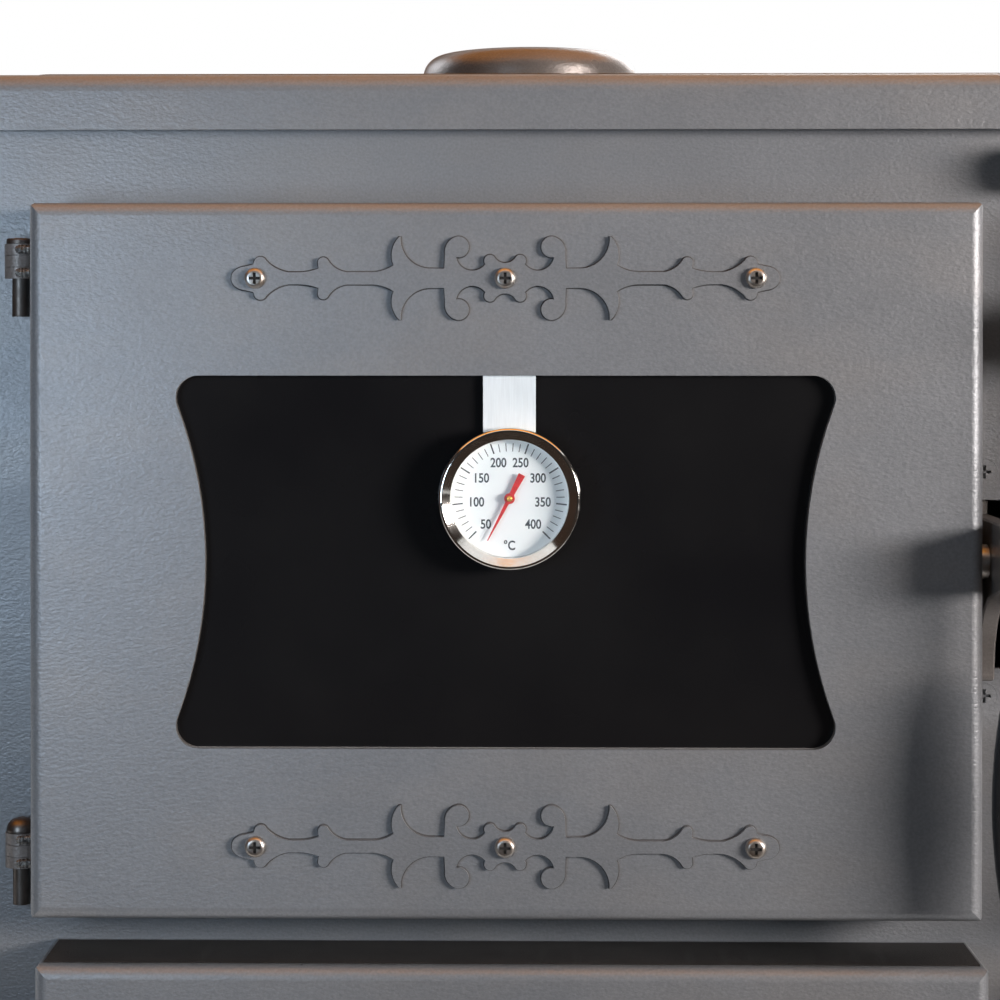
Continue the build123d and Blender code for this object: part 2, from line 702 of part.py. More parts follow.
def stepped_seat(radius):
    x, y = burner_centre()
    upper = post(x, y, radius, (TOP_Z, TOP_Z + PLATE_RIM + 1))
    return upper + post(x, y, radius - RING_STEP, (TOP_Z - PLATE_LOWER - 1, TOP_Z))


def cooking_plate():
    x, y = plate_span()
    plate = block(x, y, (TOP_Z, TOP_Z + PLATE_RIM))
    plate = fillet(plate.edges().filter_by(Axis.Z), PLATE_CORNER_RADIUS)
    plate = chamfer(plate.faces().sort_by(Axis.Z)[-1].edges(), PLATE_CHAMFER)
    lower_x, lower_y = grown(x, -PLATE_LAP), grown(y, -PLATE_LAP)
    plate += block(lower_x, lower_y, (TOP_Z - PLATE_LOWER, TOP_Z))
    return plate - stepped_seat(RING_RADIUS)


def cooking_ring():
    return stepped_disc(RING_RADIUS, SEAT_CLEARANCE) - stepped_seat(PLUG_RADIUS)


def ring_plug():
    """The ring's centre lid, with a blind slot for the lifter."""
    x, y = burner_centre()
    lifter = block(
        around(x, LIFTER_LENGTH / 2),
        around(y + LIFTER_OFFSET, LIFTER_WIDTH / 2),
        (TOP_Z + LIFTER_FLOOR, TOP_Z + PLATE_RIM + 1),
    )
    return stepped_disc(PLUG_RADIUS, SEAT_CLEARANCE) - lifter


# ---- flue ----

def collar(length):
    """A cast collar standing on its flange, along +Z from 0."""
    outer = FLUE_BORE_RADIUS + FLUE_WALL
    body = Cylinder(outer, length, align=STANDING)
    flange = Cylinder(outer + FLUE_FLANGE, FLUE_FLANGE_THICKNESS, align=STANDING)
    flange = fillet(flange.edges().sort_by(Axis.Z)[-1], COLLAR_FLANGE_ROUND)
    body = chamfer(body.edges().sort_by(Axis.Z)[-1], COLLAR_CHAMFER)
    bore = Cylinder(FLUE_BORE_RADIUS, 3 * length)
    hole = Cylinder(COLLAR_HOLE_RADIUS, 3 * FLUE_FLANGE_THICKNESS)
    holes = [place * hole for place in PolarLocations(outer + FLUE_FLANGE / 2, 4, 45)]
    return body + flange - bore - holes


def cap_contact_height():
    """How far the collar's rim stays below the cap's top, where it meets the cap's inner shoulder."""
    inner_shoulder = CAP_SHOULDER - CAP_SHEET
    reach = FLUE_BORE_RADIUS + FLUE_WALL - (CAP_RADIUS - CAP_SHOULDER)
    rise = ((inner_shoulder - SLIDE_CLEARANCE) ** 2 - reach**2) ** 0.5 + COLLAR_CHAMFER
    return CAP_SHEET + inner_shoulder - rise


def flue_collar_top():
    length = CAP_TOP - cap_contact_height() - TOP_Z
    return Pos(FLUE_X, FRONT + FLUE_SETBACK, TOP_Z) * collar(length)


def flue_collar_rear():
    return Pos(FLUE_X, BACK, REAR_COLLAR_Z) * Rot(-90, 0, 0) * collar(REAR_COLLAR_LENGTH)


def cap_profile(inset):
    """Half of the cap's section, from its axis out over the shoulder and down the side."""
    radius, shoulder = CAP_RADIUS - inset, CAP_SHOULDER - inset
    top, flat = -inset, radius - shoulder
    diagonal = shoulder * 2**-0.5
    edges = [
        Line((0, top), (flat, top)),
        ThreePointArc((flat, top), (flat + diagonal, top - shoulder + diagonal), (radius, top - shoulder)),
        Line((radius, top - shoulder), (radius, -CAP_HEIGHT - inset)),
        Line((radius, -CAP_HEIGHT - inset), (0, -CAP_HEIGHT - inset)),
        Line((0, -CAP_HEIGHT - inset), (0, top)),
    ]
    return Plane.XZ * make_face(edges)


def flue_cap():
    """A pressed lid over the unused top collar."""
    cap = revolve(cap_profile(0), Axis.Z) - revolve(cap_profile(CAP_SHEET), Axis.Z)
    return Pos(FLUE_X, FRONT + FLUE_SETBACK, CAP_TOP) * cap


# ---- oven, firebox and draught ----

def oven_box():
    """The oven liner: five sheets, open to the front, with a pair of ledges for the rack."""
    y = (FRONT + SHEET, FRONT + SHEET + OVEN_DEPTH)
    box = block(grown(OVEN_MOUTH_X, SHEET), (y[0], y[1] + SHEET), grown(OVEN_MOUTH_Z, SHEET))
    box -= block(OVEN_MOUTH_X, (y[0] - 1, y[1]), OVEN_MOUTH_Z)
    ledge_z = (OVEN_RACK_Z - LEDGE_DROP, OVEN_RACK_Z - LEDGE_DROP + LEDGE_SHEET)
    for start in (OVEN_MOUTH_X[0], OVEN_MOUTH_X[1] - LEDGE_WIDTH):
        box += block((start, start + LEDGE_WIDTH), (y[0] + LEDGE_FRONT, y[1]), ledge_z)
    return box


def oven_rack():
    """A wire rack that lies on the oven's ledges."""
    x = grown(OVEN_MOUTH_X, -RACK_SIDE_GAP)
    y = (FRONT + SHEET + RACK_FRONT_GAP, FRONT + SHEET + OVEN_DEPTH - RACK_BACK_GAP)
    z = OVEN_RACK_Z + RACK_RISE
    rack = axle(x, y[0], z, RACK_BAR_RADIUS) + axle(x, y[1], z, RACK_BAR_RADIUS)
    step = (x[1] - x[0] - 2 * RACK_WIRE_INSET) / (RACK_WIRES - 1)
    for index in range(RACK_WIRES):
        rack += disc(x[0] + RACK_WIRE_INSET + index * step, z, RACK_WIRE_RADIUS, grown(y, 1))
    return rack


def firebox_shell():
    """The firebox above and the ash chamber below, open to the front and to the cooking plate."""
    y = (FRONT + SHEET, FRONT + SHEET + SHELL_DEPTH)
    z = (ASH_MOUTH_Z[0] - SHELL_SHEET, SHELL_TOP)
    shell = block(SHELL_X, y, z)
    inner_x, inner_y = grown(SHELL_X, -SHELL_SHEET), (y[0] - 1, y[1] - SHELL_SHEET)
    shell -= block(inner_x, inner_y, (ASH_MOUTH_Z[0], GRATE_FLOOR_Z))
    shell -= block(inner_x, inner_y, (GRATE_FLOOR_Z + SHELL_SHEET, SHELL_TOP + 1))
    fall_x = grown(chamber_x(), -ASH_FALL_INSET)
    fall_y = (FRONT + ASH_FALL_FRONT, FRONT + SHELL_DEPTH - ASH_FALL_BACK)
    shell -= block(fall_x, fall_y, (GRATE_FLOOR_Z - 1, GRATE_FLOOR_Z + SHELL_SHEET + 1))
    port_x = (SHELL_X[0] - 1, SHELL_X[0] + SHELL_SHEET + 1)
    port_y = (FRONT + SMOKE_PORT_FRONT, FRONT + SMOKE_PORT_BACK)
    return shell - block(port_x, port_y, (BRICK_TOP + SMOKE_PORT_RISE, SHELL_TOP + 1))


def chamber_x():
    return grown(SHELL_X, -SHELL_SHEET - BRICK_THICKNESS)


def fire_bricks():
    """Two bricks on each side wall and two on the back wall, with a joint between neighbours."""
    z = (GRATE_FLOOR_Z + SHELL_SHEET, BRICK_TOP)
    y = (FRONT + SHEET + 1, FRONT + SHEET + SHELL_DEPTH - SHELL_SHEET)
    split = middle(y)
    half = BRICK_JOINT / 2
    left, right = chamber_x()
    bricks = []
    for y_span in ((y[0], split - half), (split + half, y[1])):
        bricks.append(block((left - BRICK_THICKNESS, left), y_span, z))
        bricks.append(block((right, right + BRICK_THICKNESS), y_span, z))
    back = (y[1] - BRICK_THICKNESS, y[1])
    centre = middle((left, right))
    bricks.append(block((left + half, centre - half), back, z))
    bricks.append(block((centre + half, right - half), back, z))
    return solids_of(*[chamfer(brick.edges(), BRICK_CHAMFER) for brick in bricks])


def fire_grate():
    """A cast grate with long slots that ash falls through."""
    x = grown(chamber_x(), -GRATE_GAP)
    y = (FRONT + GRATE_FRONT, FRONT + SHELL_DEPTH - GRATE_BACK)
    bottom = GRATE_FLOOR_Z + SHELL_SHEET
    z = (bottom, bottom + GRATE_THICKNESS)
    grate = block(x, y, z)
    pitch = (x[1] - x[0] - 2 * GRATE_BORDER) / GRATE_SLOTS
    for index in range(GRATE_SLOTS):
        centre = x[0] + GRATE_BORDER + (index + 0.5) * pitch
        grate -= block(around(centre, GRATE_SLOT_HALF), grown(y, -GRATE_END), grown(z, 1))
    return grate


def bypass_span():
    return around(DAMPER_X, BYPASS_WIDTH / 2), around(FRONT + DAMPER_SETBACK, BYPASS_DEPTH / 2)


def smoke_baffle():
    """The floor of the smoke way over the oven, with the short cut to the flue that the damper covers."""
    x = (-HALF_WIDTH + SHEET, SHELL_X[0])
    z = (BAFFLE_Z, BAFFLE_Z + SHEET)
    plate = block(x, (FRONT + BAFFLE_FRONT_GAP, FRONT + SHEET + OVEN_DEPTH + SHEET), z)
    bypass_x, bypass_y = bypass_span()
    plate -= block(bypass_x, bypass_y, grown(z, 1))
    side_way = (x[0] + SIDE_WAY_INSET, OVEN_MOUTH_X[0] - SHEET - SIDE_WAY_GAP)
    return plate - block(side_way, (FRONT + SIDE_WAY_FRONT, FRONT + OVEN_DEPTH - SIDE_WAY_BACK), grown(z, 1))


def damper_slide():
    """The damper plate, hung by a tab from the rod that runs out through the front panel."""
    plate_x, plate_y = bypass_span()
    low = BAFFLE_Z + SHEET + SLIDE_CLEARANCE
    slide = block(grown(plate_x, DAMPER_LAP), grown(plate_y, DAMPER_LAP), (low, low + SHEET))
    back = middle(plate_y)
    half = DAMPER_TAB_WIDTH / 2
    slide += block(around(DAMPER_X, half), (back - DAMPER_TAB_THICKNESS, back), (low, DAMPER_ROD_Z + half))
    return slide + disc(DAMPER_X, DAMPER_ROD_Z, DAMPER_ROD_RADIUS, (FRONT - DAMPER_ROD_FRONT, back))


def damper_knob():
    y = (FRONT - DAMPER_KNOB_FRONT, FRONT - DAMPER_KNOB_BACK)
    knob = disc(DAMPER_X, DAMPER_ROD_Z, DAMPER_KNOB_RADIUS, y)
    knob = fillet(knob.edges().sort_by(Axis.Y)[0], DAMPER_KNOB_ROUND)
    knob = fillet(knob.edges().sort_by(Axis.Y)[-1], 2)
    return knob - disc(DAMPER_X, DAMPER_ROD_Z, DAMPER_ROD_RADIUS, (FRONT - DAMPER_ROD_FRONT, FRONT))


# ---- hinges ----

def knuckle(x, bottom):
    y = FRONT - HINGE_STANDOFF
    return post(x, y, KNUCKLE_RADIUS, (bottom, bottom + KNUCKLE_HEIGHT))


def pin_hole(x):
    y = FRONT - HINGE_STANDOFF
    return post(x, y, PIN_RADIUS + RUNNING_CLEARANCE, (BODY_BOTTOM, BODY_TOP))


def panel_knuckles():
    """The middle knuckle of each hinge, on a foot welded to the front panel."""
    knuckles = []
    for door in DOORS:
        for stack in door.knuckle_bottoms():
            bottom = stack + KNUCKLE_HEIGHT + KNUCKLE_GAP
            foot = block(
                around(door.hinge_x, KNUCKLE_FOOT / 2),
                (FRONT - HINGE_STANDOFF + KNUCKLE_BITE, FRONT),
                (bottom, bottom + KNUCKLE_HEIGHT),
            )
            knuckles.append(knuckle(door.hinge_x, bottom) + foot - pin_hole(door.hinge_x))
    return solids_of(*knuckles)


def door_knuckles(door):
    """The outer two knuckles of each hinge, each with a leaf welded to the door's side wall."""
    knuckles = []
    wall = door.hinge_edge
    near = door.hinge_x + door.latch_side * KNUCKLE_BITE
    for stack in door.knuckle_bottoms():
        for bottom in (stack, stack + 2 * (KNUCKLE_HEIGHT + KNUCKLE_GAP)):
            leaf = block(
                (min(near, wall), max(near, wall)),
                around(FRONT - HINGE_STANDOFF, KNUCKLE_FOOT / 2),
                (bottom, bottom + KNUCKLE_HEIGHT),
            )
            knuckles.append(knuckle(door.hinge_x, bottom) + leaf - pin_hole(door.hinge_x))
    return solids_of(*knuckles)


def hinge_pins():
    """A flat-headed upper pin and a dome-headed lower pin on each door, both with a long tail."""
    pins = []
    stack_height = 3 * KNUCKLE_HEIGHT + 2 * KNUCKLE_GAP
    y = FRONT - HINGE_STANDOFF
    for door in DOORS:
        upper, lower = door.knuckle_bottoms()
        for bottom, dome in ((upper, False), (lower, True)):
            head_z = bottom + stack_height + KNUCKLE_GAP
            pin = post(door.hinge_x, y, PIN_RADIUS, (bottom - PIN_TAIL, head_z + 1))
            if dome:
                head = post(door.hinge_x, y, DOME_RADIUS, (head_z, head_z + DOME_HEIGHT))
                head = fillet(head.edges().sort_by(Axis.Z)[-1], DOME_ROUND)
            else:
                head = post(door.hinge_x, y, PIN_HEAD_RADIUS, (head_z, head_z + PIN_HEAD_HEIGHT))
                head = fillet(head.edges().sort_by(Axis.Z)[-1], PIN_HEAD_ROUND)
            pins.append(pin + head)
    return solids_of(*pins)


# ---- latches ----

def latch_keepers():
    """A plate behind each latch slot, drilled for the two screws that hold it."""
    keepers = []
    y = (FRONT + SHEET, FRONT + SHEET + KEEPER_SHEET)
    for door in DOORS:
        high, low = keeper_screw_heights(door)
        z = (low - KEEPER_MARGIN, high + KEEPER_MARGIN)
        plate = block(around(door.slot_x, KEEPER_WIDTH / 2), y, z)
        plate -= block(slot_x(door.slot_x), grown(y, 1), slot_z(door.pivot_z))
        for height in (high, low):
            plate -= countersunk_screw(door.slot_x, height, slack=SCREW_HOLE_SLACK)
        keepers.append(plate)
    return solids_of(*keepers)


def keeper_screws():
    screws = []
    for door in DOORS:
        for height in keeper_screw_heights(door):
            screw = countersunk_screw(door.slot_x, height)
            cross = cross_recess(door.slot_x, height, FRONT, COUNTERSUNK_CROSS, COUNTERSUNK_CROSS_DEPTH)
            screws.append(screw - cross)
    return solids_of(*screws)


def lever_outline(door):
    """The latch lever from the side: hook and heel at the panel, arm out to the grip's spindle."""
    lip = SLOT_ABOVE - HOOK_CLEARANCE
    catch = -(SHEET + KEEPER_SHEET + HOOK_STANDOFF)
    tip = catch - HOOK_LENGTH
    arm_top = 19.1
    reach = GRIP_STANDOFF + 11
    edges = [
        Line((tip, -3), (tip, lip - 4.5)),
        Line((tip, lip - 4.5), (tip + 3, lip)),
        Line((tip + 3, lip), (catch, lip)),
        Line((catch, lip), (catch, arm_top)),
        Line((catch, arm_top), (reach - 4, arm_top)),
        Line((reach - 4, arm_top), (reach, arm_top - 4)),
        Line((reach, arm_top - 4), (reach, -5)),
        Line((reach, -5), (reach - 4, -8)),
        Line((reach - 4, -8), (57, -11)),
        Line((57, -11), (31, -17.5)),
        ThreePointArc((31, -17.5), (16, -31), (8.5, -55)),
        ThreePointArc((8.5, -55), (5.9, -58.8), (3.3, -55)),
        Line((3.3, -55), (3.3, -13)),
        Line((3.3, -13), (-1, -7)),
        Line((-1, -7), (tip + 4, -7)),
        Line((tip + 4, -7), (tip, -3)),
    ]
    side = Plane(origin=(0, FRONT, door.pivot_z), x_dir=(0, -1, 0), z_dir=(-1, 0, 0))
    return side * make_face(edges)


def latch_lever(door):
    x = door.beside_latch(LEVER_GAP, LEVER_GAP + LEVER_THICKNESS)
    outline = Pos(x[1], 0, 0) * lever_outline(door)
    lever = extrude(outline, LEVER_THICKNESS, dir=(-1, 0, 0))
    lever = chamfer(lever.edges().group_by(Axis.X)[0] + lever.edges().group_by(Axis.X)[-1], LEVER_CHAMFER)
    pivot_y = FRONT - PIVOT_STANDOFF
    lever -= axle(grown(x, 1), pivot_y, door.pivot_z, PIVOT_RADIUS + RUNNING_CLEARANCE)
    spindle_y = FRONT - GRIP_STANDOFF
    grip_z = grip_span(door)
    spindle_z = (grip_z[0] - SPINDLE_FOOT_HEIGHT + 1, door.pivot_z + SPINDLE_RISE)
    lever += post(door.grip_x, spindle_y, SPINDLE_RADIUS, spindle_z)
    collar_z = (grip_z[1] + SLIDE_CLEARANCE, grip_z[1] + SPINDLE_COLLAR_HEIGHT)
    lever += post(door.grip_x, spindle_y, SPINDLE_COLLAR_RADIUS, collar_z)
    foot_z = (grip_z[0] - SPINDLE_FOOT_HEIGHT, grip_z[0] - SLIDE_CLEARANCE)
    return lever + post(door.grip_x, spindle_y, SPINDLE_FOOT_RADIUS, foot_z)


def grip_span(door):
    return around(door.pivot_z - GRIP_DROP, GRIP_LENGTH / 2)


def barrel(length, radius, end_radius, bore=0.0):
    """A barrel-shaped grip about Z, widest at its middle."""
    half = length / 2
    edges = [
        Line((bore, -half), (end_radius - GRIP_END_ROUND, -half)),
        Line((end_radius - GRIP_END_ROUND, -half), (end_radius, -half + GRIP_END_ROUND)),
        ThreePointArc((end_radius, -half + GRIP_END_ROUND), (radius, 0), (end_radius, half - GRIP_END_ROUND)),
        Line((end_radius, half - GRIP_END_ROUND), (end_radius - GRIP_END_ROUND, half)),
        Line((end_radius - GRIP_END_ROUND, half), (bore, half)),
        Line((bore, half), (bore, -half)),
    ]
    return revolve(Plane.XZ * make_face(edges), Axis.Z)


def latch_grip(door):
    bore = SPINDLE_RADIUS + SLIDE_CLEARANCE
    place = Pos(door.grip_x, FRONT - GRIP_STANDOFF, middle(grip_span(door)))
    return place * barrel(GRIP_LENGTH, GRIP_RADIUS, GRIP_END_RADIUS, bore)


def pivot_bolt(door):
    """The bolt that a latch lever turns on, with its spacer, head and inner nut."""
    y, z = FRONT - PIVOT_STANDOFF, door.pivot_z
    lever_far = LEVER_GAP + LEVER_THICKNESS
    nut = door.beside_latch(-DOOR_SHEET - BOLT_NUT_HEIGHT, -DOOR_SHEET)
    head = door.beside_latch(lever_far + SLIDE_CLEARANCE, lever_far + BOLT_HEAD_HEIGHT)
    bolt = axle(door.beside_latch(-DOOR_SHEET - BOLT_NUT_HEIGHT - 2, lever_far + 3), y, z, PIVOT_RADIUS)
    bolt += axle(door.beside_latch(0, LEVER_GAP - SLIDE_CLEARANCE), y, z, SPACER_RADIUS)
    return bolt + axle(head, y, z, BOLT_HEAD_RADIUS) + axle(nut, y, z, BOLT_NUT_RADIUS)


# ---- doors ----

def pressed_pan(x, z):
    """A pan folded over a rounded edge, with mitred corners: the skin of a door or a drawer front."""
    y = (FACE, FRONT - DOOR_GAP)
    outer = block(x, y, z)
    outer = fillet(outer.faces().sort_by(Axis.Y)[0].edges(), DOOR_EDGE_RADIUS)
    blank = opening(x, z)
    outer &= sheet_xz(chamfer(blank.vertices(), DOOR_CORNER_CUT), grown(y, 1))
    inside = block(grown(x, -DOOR_SHEET), (FACE + DOOR_SHEET, FRONT), grown(z, -DOOR_SHEET))
    return outer - fillet(inside.faces().sort_by(Axis.Y)[0].edges(), DOOR_EDGE_RADIUS - DOOR_SHEET)


def window_shape(door):
    return Pos(door.centre_x, door.centre_z) * door.window.outline()


def ornament_centres(door):
    return [(door.centre_x, door.centre_z + sign * door.ornament_rise) for sign in (1, -1)]


def ornament_screw_places(door):
    return [
        (x + index * door.screw_reach, z)
        for x, z in ornament_centres(door)
        for index in (-1, 0, 1)
    ]


def door_panel(door):
    pan = pressed_pan(door.x, door.z)
    front_y = (FACE - 1, FACE + DOOR_SHEET + 1)
    pan -= sheet_xz(window_shape(door), front_y)
    for x, z in ornament_screw_places(door):
        pan -= disc(x, z, PAN_HOLE_RADIUS, front_y)
    bolt_x = door.beside_latch(-DOOR_SHEET - 1, 1)
    return pan - axle(bolt_x, FRONT - PIVOT_STANDOFF, door.pivot_z, PIVOT_RADIUS + 0.2)


def glass_half_size(door):
    return (door.window.corner_half_width + GLASS_LAP_X, door.window.half_height + GLASS_LAP_Z)


def door_liner(door):
    """The door's inner sheet, with a sleeve that runs forward around the window."""
    y = (FACE + LINER_SETBACK, FACE + LINER_SETBACK + LINER_SHEET)
    fit = -(DOOR_SHEET + SLIDE_CLEARANCE)
    liner = block(grown(door.x, fit), y, grown(door.z, fit))
    half_x, half_z = glass_half_size(door)
    sleeve_x = around(door.centre_x, half_x - SLEEVE_INSET)
    sleeve_z = around(door.centre_z, half_z - SLEEVE_INSET)
    glass_back = FACE + DOOR_SHEET + GLASS_GASKET + GLASS_THICKNESS
    liner += block(sleeve_x, (glass_back + SLEEVE_GAP, y[1]), sleeve_z)
    inner_x, inner_z = grown(sleeve_x, -LINER_SHEET), grown(sleeve_z, -LINER_SHEET)
    return liner - block(inner_x, (FACE, FRONT), inner_z)


def door_glass(door):
    half_x, half_z = glass_half_size(door)
    front = FACE + DOOR_SHEET + GLASS_GASKET
    pane = opening(around(door.centre_x, half_x), around(door.centre_z, half_z), GLASS_CORNER)
    return sheet_xz(pane, (front, front + GLASS_THICKNESS))


def rope_gasket(door):
    """The rope that closes the door against the front panel, all round the mouth."""
    y = (FACE + LINER_SETBACK + LINER_SHEET, FRONT - ROPE_GAP)
    inner_x, inner_z = grown(door.mouth_x, ROPE_INSET), grown(door.mouth_z, ROPE_INSET)
    outer = opening(grown(inner_x, ROPE_WIDTH), grown(inner_z, ROPE_WIDTH), ROPE_CORNER)
    inner = opening(inner_x, inner_z, ROPE_CORNER - ROPE_WIDTH)
    rope = sheet_xz(outer, y) - sheet_xz(inner, grown(y, 1))
    return fillet(rope.faces().sort_by(Axis.Y)[-1].edges(), ROPE_ROUND)


def glass_gasket(door):
    """The flat gasket between the door's skin and the glass."""
    half_x, half_z = glass_half_size(door)
    y = (FACE + DOOR_SHEET, FACE + DOOR_SHEET + GLASS_GASKET)
    band = opening(around(door.centre_x, half_x), around(door.centre_z, half_z), GLASS_CORNER)
    return sheet_xz(band, y) - sheet_xz(window_shape(door), grown(y, 1))


def strap_x():
    return around(OVEN_DOOR.centre_x + THERMOMETER_SHIFT, STRAP_WIDTH / 2)


def door_gaskets(door, strap_channel):
    flat = glass_gasket(door)
    if strap_channel:
        y = (FACE + DOOR_SHEET - 1, FACE + DOOR_SHEET + GLASS_GASKET + 1)
        flat -= block(grown(strap_x(), SLIDE_CLEARANCE), y, (door.centre_z, door.z[1]))
    return solids_of(rope_gasket(door), flat)


def glass_clip(x, z, along_x, sign, edge):
    """One clip: a foot on the door's skin beside the glass and a tongue over the glass's back."""
    skin = FACE + DOOR_SHEET
    back = skin + GLASS_GASKET + GLASS_THICKNESS
    foot = sorted((edge + sign * CLIP_GAP, edge + sign * CLIP_FOOT))
    tongue = sorted((edge - sign * CLIP_LAP, edge + sign * CLIP_FOOT))
    tongue_y = (back, back + CLIP_SHEET)
    if along_x:
        across = around(z, CLIP_HALF_WIDTH)
        return block(foot, (skin, back), across) + block(tongue, tongue_y, across)
    across = around(x, CLIP_HALF_WIDTH)
    return block(across, (skin, back), foot) + block(across, tongue_y, tongue)


def glass_clips(door):
    half_x, half_z = glass_half_size(door)
    clips = []
    for sign in (-1, 1):
        clips.append(glass_clip(0, door.centre_z, True, sign, door.centre_x + sign * half_x))
        for across in (-CLIP_PLACE, CLIP_PLACE):
            x = door.centre_x + across * half_x
            clips.append(glass_clip(x, 0, False, sign, door.centre_z + sign * half_z))
    return clips


def pan_head_screw(x, z, grip, y_head):
    """An M5 pan-head screw with a cross recess, and a nut at the far end of its grip."""
    front = y_head - PAN_HEAD_HEIGHT
    head = disc(x, z, PAN_HEAD_RADIUS, (front, y_head))
    head = fillet(head.edges().sort_by(Axis.Y)[0], PAN_HEAD_ROUND)
    head -= cross_recess(x, z, front, PAN_CROSS, PAN_CROSS_DEPTH)
    screw = head + disc(x, z, PAN_SHANK_RADIUS, (y_head, y_head + grip + PAN_TIP))
    nut = extrude(RegularPolygon(PAN_NUT_RADIUS, 6), PAN_NUT_HEIGHT)
    return screw + Pos(x, y_head + grip + PAN_NUT_HEIGHT, z) * Rot(90, 0, 0) * nut


def door_fasteners(door, strapped):
    """Ornament screws, the latch's pivot bolt and the glass clips."""
    pieces = [pivot_bolt(door)]
    pieces += glass_clips(door)
    for x, z in ornament_screw_places(door):
        grip = ORNAMENT_THICKNESS + DOOR_SHEET
        if strapped and abs(x - door.centre_x) < 1 and z > door.centre_z:
            grip += STRAP_SHEET
        pieces.append(pan_head_screw(x, z, grip, FACE - ORNAMENT_THICKNESS))
    return solids_of(*pieces)


# ---- ornaments ----

def ornament_quarter(cut):
    """The upper right quarter of the scroll plate; cut shortens the plain run to its tail."""
    def tail(x, z):
        return (x - cut, z)

    lines = [
        ThreePointArc((0, 6.9), (3.0, 7.7), (5.0, 9.8)),
        ThreePointArc((5.0, 9.8), (8.2, 10.2), (8.9, 6.4)),
        ThreePointArc((8.9, 6.4), (14.8, 3.4), (22.3, 9.65)),
        ThreePointArc((22.3, 9.65), (16.6, 13.2), (21.6, 18.9)),
        ThreePointArc((21.6, 18.9), (25.9, 16.2), (27.2, 11.0)),
        Line((27.2, 11.0), (27.6, 4.4)),
        Line((27.6, 4.4), (34.8, 4.4)),
        ThreePointArc((34.8, 4.4), (44.3, 9.2), (47.5, 18.9)),
        Line((47.5, 18.9), (48.1, 18.7)),
        ThreePointArc((48.1, 18.7), (51.3, 12.4), (50.6, 5.9)),
        ThreePointArc((50.6, 5.9), (55.0, 3.7), (60.5, 2.8)),
    ]
    if cut:
        lines.append(Line((60.5, 2.8), tail(94.0, 2.7)))
    else:
        lines += [
            Line((60.5, 2.8), (72.0, 2.8)),
            ThreePointArc((72.0, 2.8), (77.0, 4.6), (80.5, 8.2)),
            ThreePointArc((80.5, 8.2), (83.2, 9.4), (85.0, 7.0)),
            Line((85.0, 7.0), (84.7, 4.4)),
            ThreePointArc((84.7, 4.4), (89.5, 3.1), (94.0, 2.7)),
        ]
    return lines + [
        Line(tail(94.0, 2.7), tail(98.5, 2.7)),
        ThreePointArc(tail(98.5, 2.7), tail(104.5, 4.8), tail(108.6, 8.0)),
        ThreePointArc(tail(108.6, 8.0), tail(112.3, 9.5), tail(114.0, 7.4)),
        Line(tail(114.0, 7.4), tail(114.4, 6.2)),
        Line(tail(114.4, 6.2), tail(118.3, 5.3)),
        ThreePointArc(tail(118.3, 5.3), tail(120.6, 4.8), tail(122.5, 3.7)),
        ThreePointArc(tail(122.5, 3.7), tail(123.9, 2.0), tail(124.3, 0)),
    ]


def ornament_outline(cut):
    right = ornament_quarter(cut)
    right += [edge.mirror(Plane.XZ) for edge in right]
    return make_face(right + [edge.mirror(Plane.YZ) for edge in right])


def door_ornaments(door):
    """The two cut scroll plates above and below the window."""
    plates = []
    for x, z in ornament_centres(door):
        plate = sheet_xz(Pos(x, z) * ornament_outline(door.ornament_cut), (FACE - ORNAMENT_THICKNESS, FACE))
        for index in (-1, 0, 1):
            hole_x = x + index * door.screw_reach
            plate -= disc(hole_x, z, PAN_HOLE_RADIUS, (FACE - ORNAMENT_THICKNESS - 1, FACE + 1))
        plates.append(plate)
    return solids_of(*plates)


# ---- thermometer ----

def thermometer_centre():
    return OVEN_DOOR.centre_x + THERMOMETER_SHIFT, OVEN_DOOR.centre_z + THERMOMETER_RISE


def case_span():
    back = FACE + DOOR_SHEET
    return (back - CASE_DEPTH, back)


def thermometer_strap():
    """The flat strip that hangs from the upper ornament's middle screw and carries the case."""
    x, z = thermometer_centre()
    back = FACE + DOOR_SHEET
    screw_z = OVEN_DOOR.centre_z + OVEN_DOOR.ornament_rise
    y = (back, back + STRAP_SHEET)
    strap = block(strap_x(), y, (z - STRAP_BELOW, screw_z + STRAP_ABOVE))
    return strap - disc(OVEN_DOOR.centre_x, screw_z, PAN_HOLE_RADIUS, grown(y, 1))


def thermometer_case():
    """The round cup of the thermometer, with a rolled bezel that slopes in to the lens."""
    x, z = thermometer_centre()
    y = case_span()
    bore = DIAL_RADIUS + 2 * RUNNING_CLEARANCE
    case = disc(x, z, CASE_RADIUS, y)
    case = fillet(case.edges().sort_by(Axis.Y)[0], BEZEL_ROUND)
    case -= disc(x, z, bore, (y[0] - 1, y[1] - CASE_FLOOR))
    slope = Rot(90, 0, 0) * Cone(bore, BEZEL_CREST_RADIUS, BEZEL_SLOPE_DEPTH)
    return case - Pos(x, y[0] + BEZEL_SLOPE_DEPTH / 2, z) * slope


def dial_front():
    return case_span()[1] - CASE_FLOOR - DIAL_SHEET


def thermometer_dial():
    x, z = thermometer_centre()
    y = (dial_front(), dial_front() + DIAL_SHEET)
    dial = disc(x, z, DIAL_RADIUS, y)
    return dial - disc(x, z, SPINDLE_NEEDLE_RADIUS + RUNNING_CLEARANCE, grown(y, 1))


def thermometer_lens():
    x, z = thermometer_centre()
    front = case_span()[0] + LENS_SETBACK
    return disc(x, z, DIAL_RADIUS, (front, front + LENS_SHEET))


